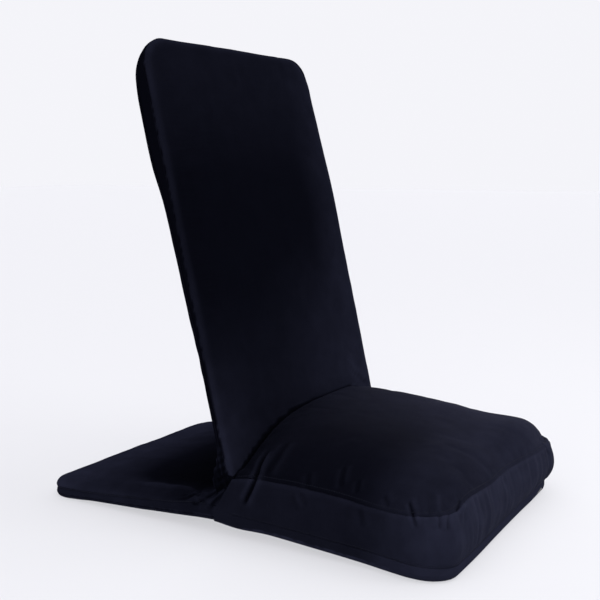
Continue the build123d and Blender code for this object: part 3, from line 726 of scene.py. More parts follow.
def back_light_and_wear(x, s, inside):
    """Painted light and shade on the back's front face: painted light makes it paler low down, at the top and
    towards its far edge; it is paler along its edge, partly rubbed wear; painted shade darkens the crease
    above the cushion.
    """
    low_right = 0.50 * ease(s, 400, -390) * ease(x, -90, 290)
    low_left = 0.28 * ease(s, 210, -200) * ease(x, -110, -90)
    wear = 0.22 * ease(s, 320, 270) + low_right + low_left + 0.26 * ease(s, 350, -330)
    wear = wear + 0.30 * bump(inside, 0, 7.0) - 0.06
    # painted highlight towards the far edge
    far = ease(x, 100, 110) * ease(s, 120, 150) * (1 - 0.5 * ease(s, 400, 150))
    foot = (np.maximum(cushion_top(x, FOOT_Y - 5.0), SEAM_Z) - SEAM_Z) / math.cos(LEAN)
    # painted shade in the crease above the cushion
    return wear + 0.33 * far - 0.8 * smooth((foot + 0.6 - s) / 1.8)


def make_back_cover():
    skin = Skin()
    flat, inside = leaf_plan(back_near_half, back_far_half, 0.0, BACK_TOP, *BACK_CORNERS, *BACK_GRID)
    x, s = flat[..., 0], flat[..., 1]
    front = rim(inside, back_front_rim(x)) + 1.2 * bump(s, 330, 230) * smooth(inside / 45)
    weave = to_points(x, s, 0.0)
    skin.grid(back_place(x, front, s), weave=weave, wear=back_light_and_wear(x, s, inside))
    full, inside = leaf_plan(back_near_half, back_full_half, 0.0, BACK_TOP, *BACK_REAR_CORNERS, *BACK_GRID)
    rear_x, rear_s = full[..., 0], full[..., 1]
    rear = back_thickness(rear_s) - rim(inside, back_rear_rim(rear_s)) - 0.6 * smooth(inside / 45)
    # painted light: the rear face is paler in its middle and painted shade darkens its rounded edge
    wear = 0.9 * ease(inside, 4, 22) - 0.15
    skin.grid(back_place(rear_x, rear, rear_s), flip=True, weave=weave + (0, 0, 50), wear=wear)
    border, full_border = plan_border(flat), plan_border(full)
    low = back_front_rim(border[:, 0])
    high = back_thickness(full_border[:, 1]) - back_rear_rim(full_border[:, 1])
    levels = np.linspace(0, 1, 13)[:, None]
    depth = low + levels * np.maximum(high - low, 0.3)
    out = 1 - np.clip(1 - levels / 0.45, 0, 1) ** 1.6
    plan = border + out[..., None] * (full_border - border)
    # painted shade: the side wall is a little darker
    skin.grid(back_place(plan[..., 0], depth, plan[..., 1]), flip=True, wear=np.full(depth.shape, -0.04))
    levels = np.linspace(0, 1, 4)[:, None]
    foot = levels * (rear[0] - front[0]) + front[0]
    skin.grid(back_place(x[:1] + levels * (rear_x - x)[:1], foot, 0.0), flip=True)

    def held(points):
        _, up = back_local(points)
        return ease(np.abs(points[:, 0]), 196, 8) + ease(up, 585, 8) + ease(up, 70, -30)

    settle = (held, BACK_PUCKERS)
    piece = skin.make("back_cover_cloth", chair_finish("matt_canvas"), back_cloth_moves, settle=settle)
    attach(piece, "back")
    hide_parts("back_cover", "back_foam_pad", "back_webbing")
    return piece


# ---------------------------------------------------------------- cushion
# Seams give a height at a place along y or x, bows the y of a front edge at x, and PRESSED how deep the
# back presses in at x.
SIDE_SEAM = [(-325, 82.0), (-300, 82.8), (-287, 81.6), (-266, 80.6), (-240, 80.4), (-180, 85.2), (-140, 87.0),
             (-116, 87.9), (-86, 88.5), (-58, 88.5), (-43, 87.4), (-20, 83.6)]
FRONT_SEAM = [(-172, 81.9), (-155, 84.0), (-139, 86.6), (-102, 85.2), (-63, 82.6), (6, 83.8), (87, 81.7),
              (146, 79.8), (182, 81.2)]
FRONT_BOW = [(-180, -324.5), (-120, -325.5), (-60, -326.5), (9, -326.0), (74, -331.5), (132, -335.0),
             (180, -333.0)]
LOW_BOW = [(-180, -333.0), (-120, -332.6), (-34, -330.0), (60, -328.0), (130, -327.4), (155, -326.6),
           (180, -326.0)]
LOW_SEAM = [(-330, 19.0), (-270, 22.0), (-197, 25.5), (-123, 29.0), (-73, 31.0), (-22, 33.5), (11, 40.0),
            (35, 38.0), (93, 30.5), (152, 24.0), (230, 17.5), (335, 10.5)]
PRESSED = [(-214, 0), (-205, 8.0), (-191, 14.5), (-163, 20.0), (-134, 18.5), (-91, 12.0), (-46, 5.0),
           (14, 0.0), (60, 0.0)]
CORNER_Y = -279.0                     # where the cushion's front corners start
SEAM_CORNER = 46.0                    # radius of the upper seam at both of them
LOW_CORNERS = {-1: 38.0, 1: 43.0}     # and of the lower seam, by the sign of x
CROWN_RISE, CROWN_FALL = 57.5, 17.5   # of the top above its seam at the rear, and how much less in front
LEAST_CROWN = 0.35                    # share of the crown that is left under the back
REAR_ROLL = (6.5, 13.0)               # width and height of the edge that rolls over by the back
BAND_HEIGHT = 60.0
RUN_BACK = 29.0                       # how far the lower seam goes on under the foot of the back
# Distance from the upper seam and width: its groove, the ridge beside it and the topstitch's groove
SEAM_GROOVE, SEAM_RIDGE, STITCH_GROOVE = (0, 1.15), (3.6, 2.0), (5.6, 0.7)


def seam_side_half(y):
    """The cushion's sides pull in between its corners."""
    return 214.0 - 6.0 * np.sin(math.pi * np.clip((-y - 10) / 265, 0, 1))


def cushion_plan(grow=0.0, low=False):
    """Near side, front and far side of a seam's plan, each from one corner's middle to the next."""
    run = np.linspace(FOOT_Y, CORNER_Y, 120)
    half = (HALF_WIDTH - 0.7 + 5.4 * bump(run, -290, 52) if low else seam_side_half(run)) + grow
    near = to_points(-half, run)
    bow = LOW_BOW if low else FRONT_BOW
    turn = np.linspace(0, math.pi / 2, 41)
    arcs = []
    for sign in (-1, 1):
        radius = (LOW_CORNERS[sign] if low else SEAM_CORNER) + grow
        depth = float(through(bow, np.array([sign * 170.0]))[0]) - grow - CORNER_Y
        across = half[-1] - radius + radius * np.cos(turn)
        arcs.append(to_points(sign * across, CORNER_Y + depth * np.sin(turn)))
    x = np.linspace(arcs[0][-1][0], arcs[1][-1][0], 120)
    left = np.concatenate([near[:-1], arcs[0][:21]])
    front = np.concatenate([arcs[0][20:-1], to_points(x, through(bow, x) - grow), arcs[1][::-1][1:21]])
    right = np.concatenate([(near * (-1, 1))[:-1], arcs[1][:21]])
    front[-1] = right[-1]
    return left, front, right


def seam_height(x, y):
    """Height of the upper seam at a point of its plan."""
    turn = ease(y, CORNER_Y, -44.0)
    return through(SIDE_SEAM, y) * (1 - turn) + through(FRONT_SEAM, x) * turn


def low_seam_height(y):
    return through(LOW_SEAM, y)


def crown_edge():
    left, front, _ = cushion_plan()
    line = np.concatenate([left, front[1:22]])
    return np.abs(line[:, 0]), line[:, 1]


CROWN_HALF, CROWN_Y = crown_edge()


def crown(x, y):
    """Rise of the crowned top above its seam, pressed in where the back leans on its near side."""
    half = np.interp(-y, -CROWN_Y, CROWN_HALF)
    t = np.clip((FOOT_Y - y) / (FOOT_Y - through(FRONT_BOW, x)), 0, 1)
    rise = (CROWN_RISE - CROWN_FALL * t) * (1 - t ** (14 + 8 * smooth(x / 150)))
    share = np.clip(np.abs(x) / np.maximum(half, 1), 0, 1)
    near = smooth(-x / 120)
    round_off = (1 - share ** 7) * (1 - near) + (1 - share ** 4.4) * near
    pressed = through(PRESSED, x) * ease(y, -118, 98) ** 1.3
    return np.maximum(rise * round_off - pressed, LEAST_CROWN * rise * round_off)


def cushion_top(x, y):
    """Height of the cushion's top, without its rolled edge by the back."""
    corner = 0.9 * bump(x, 198, 22) * bump(y, -297, 24)
    far_foot = 2.2 * ease(x, 120, 60) * ease(y, -130, 90)
    return seam_height(x, y) + crown(x, y) + corner - far_foot


# Folds of the cushion: line on its near side, depth (less than 0 for a ridge), width, lip, lip width
FOLDS = (
    (((-150, -46, 115), (-166.6, -45.8, 109.4), (-176.4, -47.2, 105.2), (-198, -52.7, 94.4),
      (-212, -55.7, 86.1), (-213.9, -50.6, 72.7), (-215.9, -42.8, 56.7), (-215.8, -37.9, 48.8)),
     4.6, 2.3, 2.4, 4.0),
    (((-143.6, -68.6, 125.3), (-161.3, -69.9, 118.7), (-179, -69.8, 109.5), (-192.7, -68.9, 100.7),
      (-204.5, -68.5, 91.6)), 1.5, 5.0, 1.0, 6.0),
    (((-172, -169.8, 114), (-183.2, -172.9, 107), (-191.9, -175.4, 100.6), (-199.2, -180.2, 94.3)),
     1.3, 2.6, 0.9, 3.6),
    (((-185.3, -197.2, 103.7), (-193.6, -200.1, 97.4), (-200.9, -202.6, 90.9)), 1.1, 2.4, 0.6, 3.4),
    (((-194.5, -237.1, 93.7), (-200.7, -244.3, 89.2), (-207.1, -250.1, 84.6)), 1.0, 2.4, 0.6, 3.2),
    (((-196, -127, 104), (-203, -131, 96), (-208, -135, 88)), 0.9, 3.0, 0.6, 4.0),
    (((-196.1, -271.2, 93.9), (-203, -277.1, 89.5), (-210.4, -283.9, 83.1), (-213.8, -288.1, 76.2),
      (-216.1, -292.5, 67.8)), 2.6, 1.3, 1.4, 2.6),
    (((-172, -300.8, 99.5), (-181.8, -304.6, 94.3), (-191, -309, 87.9), (-197.5, -313, 81.9)),
     -1.5, 1.8, -0.5, 2.6),
    (((-197.5, -313, 81.9), (-201, -316.3, 76.1), (-205.4, -317.1, 67.8)), 1.9, 1.3, 0.8, 2.6),
    (((-173.4, -324.9, 81.4), (-161.9, -323.4, 83.8), (-150.7, -321.5, 89)), 1.7, 1.4, 0.8, 2.6),
    (((-185.2, -320.6, 81.9), (-191.7, -322.7, 76.8), (-195.4, -323.4, 70.6), (-198.2, -323.7, 65.4)),
     2.0, 1.3, 0.9, 2.6),
    (((-147.5, -324.2, 85.9), (-158.2, -327.3, 80.8), (-163.7, -328.3, 72.5), (-172.3, -330.6, 64.4)),
     -1.2, 2.4, -0.4, 3.0),
    (((-210.1, -118.4, 81.4), (-211.7, -123.8, 72.1), (-213.7, -131, 62)), -1.0, 4.0, -0.6, 4.0),
    (((-211, -212, 78), (-212, -216, 68), (-214, -219, 54)), 0.9, 4.5, 0.5, 5.0),
)


def cushion_cloth_moves(points, normals, seam):
    """Seam, its puckers, the folds by the back and the pleats of the corner."""
    x, y, z = points.T
    distance, share = near_line(points, seam)
    run = share * lengths(seam).sum()
    above = z > seam_height(x, y) + 0.2
    ahead = ease(y, -290, -25) * (1 + 0.9 * ease(x, -160, 60))
    corner = bump(run, 300.0, 48.0) + np.where(above, 0.15, 0.5) * bump(run, 430.0, 110.0)
    off = -(1.4 - 0.6 * ahead) * bump(distance, *SEAM_GROOVE) + 0.5 * bump(distance, *SEAM_RIDGE)
    off = off - above * (0.45 - 0.2 * ahead) * bump(distance, *STITCH_GROOVE)
    line = to_points(run, 0.0, 0.0)
    puckers = noise(line, 7.0, 31) + 0.7 * noise(line, 12.0, 32)
    reach = np.where(above, 13.0, 17.0) + 10.0 * corner
    off = off + puckers * (0.40 + 1.0 * corner) * np.exp(-distance / reach) * smooth(distance / 3.5)
    band = (1 - above) * smooth(distance / 8)
    forward = ease(y, -230, -70)
    crumple = noise(line, 10.0, 33) + 0.5 * noise(line + (0, 0, 9), 5.0, 34)
    off = off + band * (0.35 + 0.55 * forward) * crumple
    off = off + 0.8 * noise(points * (1, 1, 0.8), 46, 35) * smooth(distance / 20)
    off = off + 0.22 * noise(points, 14, 36)
    sharp = 0.0
    for path, *shape in FOLDS:
        line = np.array(path, float)
        along_x = np.ptp(line[:, 0]) > np.ptp(line[:, 1]) and line[:, 1].max() < -290
        scales = (1, 0.3, 1) if along_x else (0.3, 1, 1)
        for side in (1, -1):
            sharp = sharp + crease(points * scales, line * (side, 1, 1) * scales, *shape)
    free = smooth((z - low_seam_height(y)) / 7.0)
    moved = points + normals * ((off + sharp) * free)[:, None]
    return moved, sharp + puckers * corner * 0.8 * np.exp(-distance / 16)


def cushion_painted_light(x, y):
    """Painted light and shade on the cushion's top: paler on its far half and its front, painted light;
    darker in the crease by the back and beside it, painted shade.
    """
    ahead = FOOT_Y - y
    wear = 0.02 + 0.85 * ease(x, -110, 320) * (0.5 + 0.5 * ease(y, -40, -200))
    wear = wear + 0.36 * ease(y, -190, -90) * ease(x, 110, -140)
    return wear - 0.9 * ease(ahead, 4.0, -3.4) - 0.22 * bump(ahead, 9, 14) * ease(x, 60, -120)


def flatten_under_back(piece):
    """Gives the piece its own copy of its mesh."""
    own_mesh(piece)


def seat_plan(left, front, right, v, u):
    """Grid over a plan of the seat, from its straight rear to its bowed front, with its three edges."""
    left, front, right = along(left, v), along(front, u), along(right, v)
    rear = to_points(left[0, 0] + (right[0, 0] - left[0, 0]) * u, left[0, 1])
    return patch(left, right, rear, front, v, u), (left, front, right)


def turned_in(forward):
    """How far a cover turns in at its lower seam: less towards the front."""
    return 1.2 - 1.15 * forward


def make_cushion():
    skin = Skin()
    v, u = spaced(330.0, 0.8, 1.8), spaced(430.0, 0.8, 1.9)
    flat, _ = seat_plan(*cushion_plan(), v, u)
    x, y = flat[..., 0], flat[..., 1]
    height = cushion_top(x, y)
    height = height - rim(FOOT_Y - y, *REAR_ROLL) * ease(height - SEAM_Z, 1, 14)
    lean_in = ease(y, -110, 90)
    y_top = y + lean_in * (np.clip(height - SEAM_Z, 0, None) * math.tan(LEAN) - 0.8)
    skin.grid(to_points(x, y_top, height), flip=True, weave=to_points(x, y, 0.0), wear=cushion_painted_light(x, y))
    border = plan_border(flat)
    edge_x, edge_y = border.T
    low_left, low_front, low_right = cushion_plan(low=True)
    low = np.concatenate([along(low_left, v), along(low_front, u)[1:], along(low_right, v)[::-1][1:]])
    levels = spaced(BAND_HEIGHT, 0.8, 1.8)[:, None]
    forward, far = ease(edge_y, -230, -80), ease(edge_x, -60, 200)
    bulge = (2.5 + forward * 4.0) * np.sin(math.pi * levels)
    bulge = bulge + forward * far * 3.6 * np.sin(math.pi * levels ** 1.6)
    bulge = bulge - turned_in(forward) * bump((1 - levels) * BAND_HEIGHT, 0, 1.3)
    plan = (1 - levels[..., None]) * border + levels[..., None] * low
    plan = plan + bulge[..., None] * border_normals(border)
    top_z = seam_height(edge_x, edge_y)
    band_z = (1 - levels) * top_z + levels * low_seam_height(edge_y)
    run_back = ease(edge_y, -62, 42) * levels * RUN_BACK
    # painted light: the band is paler towards the front, where light falls, with a painted highlight just
    # below its upper seam
    painted_light = 0.28 + (0.50 + 0.09 * forward) * ease(edge_y, -200, -110)
    skin.grid(
        to_points(plan[..., 0], plan[..., 1] + run_back, band_z), flip=True,
        weave=to_points(distances(border), -band_z, 20.0), wear=painted_light + 0.12 * bump(levels, 0.06, 0.05),
    )
    seam = to_points(edge_x, edge_y, top_z)

    def held(points):
        off_seam, _ = near_line(points, seam)
        low = smooth((low_seam_height(points[:, 1]) + 6 - points[:, 2]) / 4)
        return low + ease(points[:, 1], -22, 10) + 0.9 * bump(off_seam, 0, 3.0)

    def move(points, normals):
        return cushion_cloth_moves(points, normals, seam)

    piece = skin.make("seat_cushion", chair_finish("canvas"), move, settle=(held, CUSHION_PUCKERS))
    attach(piece, "seat")
    flatten_under_back(piece)
    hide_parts("seat_cover", "seat_foam", "seat_webbing")
    return piece


def border_normals(border):
    """Outward directions of an open border that starts on the near side and ends on the far side."""
    step = np.gradient(border, axis=0)
    outward = np.stack([step[:, 1], -step[:, 0]], -1)
    return outward / np.maximum(np.linalg.norm(outward, axis=1), 1e-9)[:, None]


# ---------------------------------------------------------------- base cloth under the seat
def soft_underside(y):
    """Underside of the base with its crest eased."""
    seat = HINGE_Z - (HINGE_Y - y) * math.tan(SEAT_SLOPE)
    tail = HINGE_Z - (y - HINGE_Y) * math.tan(TAIL_SLOPE)
    gap = seat - tail
    eased = np.where(np.abs(gap) < 2.0, (seat + tail) / 2 - 0.5 - gap**2 / 8, np.minimum(seat, tail))
    return np.maximum(eased - 2.4 * bump(y, -24, 34), 0.0)


def base_edge(y):
    """Radius of the base's bottom edge."""
    return 2.5 + 5.0 * ease(y, -20, -60) + 3.0 * ease(y, -240, -60)


def make_base_cloth():
    skin = Skin()
    v, u = spaced(345.0, 1.0, 6.0), spaced(430.0, 1.0, 6.0)
    left, front, right = cushion_plan(low=True)
    left, right = (np.concatenate([[[line[0, 0], HINGE_Y - 1.0]], line]) for line in (left, right))
    flat, (left, front, right) = seat_plan(left, front, right, v, u)
    inside = inside_outline(flat, np.concatenate([left, front[1:-1], right[::-1]]))
    x, y = flat[..., 0], flat[..., 1]
    skin.grid(
        to_points(x, y, soft_underside(y) + rim(inside, base_edge(y))), weave=to_points(x, y, 0.0),
        wear=0.35 + bump(inside, 0, 12.0) * 0.6,
    )
    border = plan_border(flat)
    edge_y = border[:, 1]
    bottom = soft_underside(edge_y) + base_edge(edge_y)
    top = np.maximum(low_seam_height(edge_y), bottom + 1.0)
    levels = spaced(17.0, 0.7, 3.0)[:, None]
    turned = -turned_in(ease(edge_y, -230, -80)) * bump((1 - levels) * (top - bottom), 0, 1.2)
    wall = border + turned[..., None] * border_normals(border)
    z = (1 - levels) * bottom + levels * top
    # painted light: the turned-up wall is paler towards the front, like the band above it
    painted_light = 0.30 + 0.80 * ease(edge_y, -200, -110)
    skin.grid(to_points(wall[..., 0], wall[..., 1], z), wear=np.broadcast_to(painted_light, z.shape))
    piece = skin.make("base_cloth_tray", chair_finish("base_cloth"))
    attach(piece, "seat")
    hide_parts("seat_base_cloth")
    return piece


# ---------------------------------------------------------------- tail cover and its sleeve over the hinge
SLEEVE_START, TAIL_END = -22.0, 331.8
TAIL_CORNERS = (46.0, 60.0)
TAIL_LOW_RIM = 6.0              # radius of its lower edge
TAIL_TOP = [(-22, 83.0), (-12, 79.5), (-4, 74.0), (5, 67.5), (19, 58.0), (38, 49.5), (60, 42.0), (80, 38.3),
            (105, 36.2), (135, 34.6), (168, 33.0), (230, 28.0), (300, 23.2), (340, 21.2)]


def tail_top(x, y):
    """Top of the tail's cloth; the ramp up to the back is highest at its near side."""
    ramp = through(TAIL_TOP, y)
    plain = 38.3 - (y - 80) * 0.1 + 3.0 * ease(y, 60, -60)
    plain = plain - 3.2 * ease(x, 60, 100) * ease(y, 120, -70)
    share = (0.45 + 0.35 * ease(x, 60, 120)) * ease(x, -190, 80) * ease(y, 88, -40)
    return ramp * (1 - share) + np.minimum(plain, ramp) * share


def tail_half(y):
    """Inside the seat's cloth ahead of the hinge, and full width behind it."""
    return HALF_WIDTH - 2.2 + 1.8 * ease(y, 8, 14)


def tail_drop(top, y):
    """How far the top turns down at its edge, to end above the seam."""
    return np.clip(top - low_seam_height(y) - 3.0, 4.0, 9.0)


def tail_cloth_moves(points, normals):
    """Gathers that fan out from the foot of the back, the ridge beside them and the slack of the cloth."""
    x, y, z = points.T
    side = ease(np.abs(x), 196, 10)
    angle, reach = np.arctan2(y + 21.0, 84.0 - z), np.hypot(y + 21.0, 84.0 - z)
    fan = ease(reach, 6, 14) * ease(reach, 74, -26)
    fan = fan * ease(angle, 0.42, 0.1) * ease(angle, 1.25, -0.3)
    waves = np.sin(angle * 27.0 + 1.3 * np.sin(reach / 11.0) + 0.4 * np.sin(angle * 61.0))
    off = side * fan * (waves * 2.3 - 1.2) * (z > low_seam_height(y) + 1.5)
    crumple = ease(y, 18, 16) * ease(y, 86, -30) * ease(np.abs(x), 168, 20) * (z > 34)
    gather = 0.7 - 2.0 * np.abs(noise(points * (1.0, 0.7, 1.4), 10, 11)) + 0.6 * noise(points, 5.5, 12)
    off = off + crumple * gather * 1.9
    top = normals[:, 2] > 0.3
    ridge_x = 176.0 - 3.0 * np.sin(y / 40.0)
    ridge = 2.6 * bump(np.abs(x), ridge_x, 5.5) * ease(y, 60, 25) * ease(y, 196, -50)
    off = off + top * ridge
    off = off + 0.9 * noise(points * (1, 0.8, 1), 60, 13) * ease(y, 60, 40)
    off = off + 0.35 * noise(points, 20, 14)
    ramp = ease(y, -5, 15) * ease(y, 80, -30) * top
    off = off + ramp * 2.4 * noise(points * (1.0, 0.22, 0.3), 19, 15) * (1 - side * 0.6)
    sharp = side * fan * waves * 2.0 + crumple * gather * 2.2 + top * ridge
    return points + normals * off[:, None], sharp


def tail_light_and_wear(x, y, inside):
    """Painted light and shade on the tail's top: paler towards its rear end and on its near side, painted
    light; paler along its edge, rubbed wear; darker in the shade of the back, painted shade.
    """
    wear = 0.32 * ease(y, 70, 190) + 0.40 * ease(y, 230, 90) + bump(inside, 0, 8.0) * 0.1
    wear = wear + 0.15 * ease(x, -60, -120) * ease(y, 60, 60)
    return wear - 0.78 * ease(y, 258, -150) * ease(x, -185, 50) + 0.04


def make_tail_cover():
    skin = Skin()
    flat, inside = leaf_plan(tail_half, tail_half, SLEEVE_START, TAIL_END, *TAIL_CORNERS, 1.0, 4.0, 1.06)
    x, y = flat[..., 0], flat[..., 1]
    weave = to_points(x, y, 0.0)
    skin.grid(
        to_points(x, y, soft_underside(y) + rim(inside, TAIL_LOW_RIM)), flip=True, weave=weave,
        wear=0.35 + bump(inside, 0, 8.0) * 0.3,
    )
    shoulder = 8.0 + 26.0 * ease(y, 55, 40) * ease(y, 300, -120)
    top = tail_top(x, y)
    skin.grid(
        to_points(x, y, top - rim(inside, shoulder, tail_drop(top, y))), weave=weave + (0, 0, 30),
        wear=tail_light_and_wear(x, y, inside),
    )
    border = plan_border(flat)
    edge_y = border[:, 1]
    bottom, seam = soft_underside(edge_y) + TAIL_LOW_RIM, low_seam_height(edge_y)
    upper = tail_top(border[:, 0], edge_y)
    upper = upper - tail_drop(upper, edge_y)
    seam = np.clip(seam, bottom + 0.5, upper - 0.5)
    low_levels, high_levels = np.linspace(0, 1, 5)[:-1, None], np.linspace(0, 1, 16)[:, None]
    z = np.concatenate([bottom + low_levels * (seam - bottom), seam + high_levels * (upper - seam)])
    height = np.clip((z - seam) / np.maximum(upper - seam, 1e-6), 0, 1)
    tuck = -1.1 * bump(z, seam, 1.6)
    tuck = tuck - 2.4 * height ** 2 * ease(edge_y, 70, -30) * ease(edge_y, 2, 14)
    wall = border + tuck[..., None] * border_normals(border * (1, -1)) * (1, -1)
    # painted light: the tail's wall is paler towards its rear end
    painted_light = 0.24 + 0.22 * ease(edge_y, 40, 200)
    skin.grid(to_points(wall[..., 0], wall[..., 1], z), wear=np.broadcast_to(painted_light, z.shape))

    def held(points):
        x, y, z = points.T
        return ease(z, 26, -5) + ease(y, 50, -15) + ease(np.abs(x), 200, 6)

    settle = (held, TAIL_PUCKERS)
    piece = skin.make("tail_cover_cloth", chair_finish("tail_canvas"), tail_cloth_moves, settle=settle)
    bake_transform(piece)
    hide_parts("tail_cover", "tail_pad", "hinge_flap")
    return piece


# ---------------------------------------------------------------- loose cloth round the foot of the back
BOOT_HEIGHTS = np.linspace(44.0, -36.0, 50)


def boot_line(s):
    """Outline of the loose cloth at a height along the back, open to the front."""
    near, far = -back_near_half(max(s, 0.0)) - 0.3, back_far_half(max(s, 0.0)) + 0.3
    start = 8.6 - 7.6 * float(ease(s, 5, -6))
    depth = 19.7 + 16.0 * float(ease(s, 34, -42))
    inset = 2.2 * float(ease(s, 8, -9))
    bend = 9.0 - 5.0 * float(ease(s, 24, -24))
    near, far = near + inset, far - inset
    turn = np.linspace(0, math.pi / 2, 10)
    path = [(near + 0.9, start - 0.6), (near, start + 0.4)]
    path += [(near + bend - bend * math.cos(a), depth - bend + bend * math.sin(a)) for a in turn]
    path += [(far - bend + bend * math.sin(a), depth - bend + bend * math.cos(a)) for a in turn]
    path += [(far, start + 0.4), (far - 0.9, start - 0.6)]
    return along(path, spaced(470.0, 1.6, 4.0))


def boot_moves(points, normals):
    """Gathers at both ends of the strip, and slack between them."""
    depth, s = back_local(points)
    loose, side = ease(s, 42, -14), ease(np.abs(points[:, 0]), 200, 8)
    waves = 1.6 + np.sin(depth * 0.95 + 0.05 * s) + 0.6 * np.sin(s * 0.62 + depth * 0.25)
    folds = side * 0.9 * ease(s, -24, 22) * waves
    folds = folds + (1 - side) * 1.8 * noise(points * (1, 0.2, 0.25), 17, 21)
    off = loose * folds + 0.3 * noise(points, 9, 22)
    return points + normals * off[:, None], loose * side * (folds - 1.6) * 2.2


def make_back_boot():
    """Skirt of cloth that wraps the foot of the back from behind and goes down inside the tail's sleeve."""
    skin = Skin()
    rows = [back_place(*boot_line(s).T, s) for s in BOOT_HEIGHTS]
    # painted shade: the boot is darker low down, inside the tail's sleeve
    wear = 0.10 - 0.30 * ease(BOOT_HEIGHTS[:, None], 20, -22)
    skin.grid(np.stack(rows), wear=np.repeat(wear, len(rows[0]), 1))
    piece = skin.make("back_boot_cloth", chair_finish("matt_canvas"), boot_moves)
    foot = back_place(0, 10, -14) * MM
    upper = back_place(0, 10, 22) * MM
    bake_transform(piece)
    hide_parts("rear_gusset")
    return piece


# ---------------------------------------------------------------- stitching
STITCH_PITCH, STITCH_SHARE = 3.6, 0.72       # one stitch and its gap, and how much of it is thread
STITCH_RADIUS = 0.42
# Rows: how far in from the cushion's upper seam or out from its lower one, and how far above the seam
TOPSTITCH_IN, TOPSTITCH_UP = 4.2, 4.0
LOW_STITCH_OUT, LOW_STITCH_UP, TAIL_STITCH_UP = 1.0, 2.6, 2.4
# Share of a stitch's length, how deep its middle lies in the cloth there, and its girth
STITCH = ((0.0, 0.30, 0.25), (0.12, 0.05, 0.8), (0.5, -0.12, 1.0), (0.88, 0.05, 0.8), (1.0, 0.30, 0.25))


def stitch_row(skin, cover, line):
    """Capsule threads, one per stitch, lying on a cover along a line."""
    count = int(lengths(line).sum() / STITCH_PITCH)
    starts = along(line, np.arange(count) / count)
    ends = along(line, (np.arange(count) + STITCH_SHARE) / count)
    turn = np.linspace(0, 2 * math.pi, 7)[:-1, None]
    for start, end in zip(starts, ends):
        stations = []
        for share, sink, girth in STITCH:
            spot = Vector((start + (end - start) * share) * MM)
            found, place, normal, _ = cover.closest_point_on_mesh(spot)
            if not found:
                raise RuntimeError("a stitch found no cloth under it")
            normal = np.array(normal)
            stations.append((np.array(place) / MM - normal * sink, normal, STITCH_RADIUS * girth))
        run = stations[-1][0] - stations[0][0]
        rings = []
        for place, normal, radius in stations:
            across = np.cross(run, normal)
            across = across / max(np.linalg.norm(across), 1e-9)
            rings.append(place + radius * (np.cos(turn) * across + np.sin(turn) * normal))
        skin.grid(np.stack(rings), wrap=True)


def seat_seam(grow, low):
    """A whole seam's plan, moved outward, from its rear near end to its rear far end."""
    left, front, right = cushion_plan(grow, low)
    return np.concatenate([left, front[1:], right[::-1][1:]])


def make_seat_stitches(cushion):
    """Topstitch above the cushion's upper seam and a row above its lower seam."""
    skin = Skin()
    plan = seat_seam(-TOPSTITCH_IN, False)
    plan = plan[plan[:, 1] < FOOT_Y - 6]
    stitch_row(skin, cushion, to_points(*plan.T, seam_height(*plan.T) + TOPSTITCH_UP))
    plan = seat_seam(LOW_STITCH_OUT, True)
    stitch_row(skin, cushion, to_points(*plan.T, low_seam_height(plan[:, 1]) + LOW_STITCH_UP))
    piece = skin.make("seat_stitches", chair_finish("thread"), merge=0.0)
    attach(piece, "seat")
    flatten_under_back(piece)
    return piece


def make_tail_stitches(tail):
    """The row above the tail's seam, round its sides and its rear."""
    skin = Skin()
    flat, _ = leaf_plan(tail_half, tail_half, 26.0, TAIL_END, *TAIL_CORNERS, 4.0, 8.0)
    border = plan_border(flat)
    stitch_row(skin, tail, to_points(*border.T, low_seam_height(border[:, 1]) + TAIL_STITCH_UP))
    piece = skin.make("tail_stitches", chair_finish("thread"), merge=0.0)
    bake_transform(piece)
    return piece


# ---------------------------------------------------------------- zip in the base cloth
ZIP_Y, ZIP_HALF, ZIP_PITCH = -59.8, 150.0, 2.6
TAPE_INSIDE, TAPE_OUTSIDE = 1.2, 11.4
TAPE_DROP, TEETH_DROP = 0.7, 1.1        # below the base's underside
TOOTH = np.array([(2.6, 0.75), (1.6, 0.85), (0.0, 0.95), (-0.9, 0.45)])     # rings: reach and half height
TOOTH_SLIMNESS = 0.62                   # half width of a ring in half heights
TOOTH_CORNERS = np.array([[-1, -1], [1, -1], [1, 1], [-1, 1]])
TOOTH_END = np.array([[0, 1], [3, 2]])  # the corners of a ring as a face


def make_zip():
    """Two tapes and their interlocking teeth, closed along the base."""
    tapes, teeth = Skin(), Skin()
    x = np.linspace(-ZIP_HALF, ZIP_HALF, 151)
    level = float(soft_underside(np.array(ZIP_Y))) - TEETH_DROP
    (reach, half), (corner_x, corner_z) = TOOTH.T[..., None], TOOTH_CORNERS.T
    for side in (-1, 1):
        across = np.linspace(TAPE_INSIDE, TAPE_OUTSIDE, 8)[:, None]
        y = ZIP_Y + side * across
        ripple = 0.22 * np.sin(x * 0.34 + side) * (across / TAPE_OUTSIDE) ** 2 + 0.35 * bump(across, 6.0, 0.6)
        z = soft_underside(y) - TAPE_DROP + ripple + 0.55 * ease(across, 9.8, 1.6)
        tapes.grid(to_points(x, y, z), flip=side > 0)
        shift = ZIP_PITCH / 2 if side > 0 else 0
        for place in np.arange(-ZIP_HALF + 3, ZIP_HALF - 3, ZIP_PITCH) + shift:
            wide = place + corner_x * half * TOOTH_SLIMNESS
            ring = to_points(wide, ZIP_Y + side * reach, level + corner_z * half)
            teeth.grid(ring, wrap=True, flip=side < 0)
            for end, turned in ((ring[0], side > 0), (ring[-1], side < 0)):
                teeth.grid(end[TOOTH_END], flip=turned)
    made = []
    for skin, name, finish in ((tapes, "zip_tapes", "zip_tape"), (teeth, "zip_teeth", "zip_metal")):
        piece = skin.make(name, chair_finish(finish), merge=0.001)
        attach(piece, "seat")
        made.append(piece)
    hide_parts("base_zip")
    return made


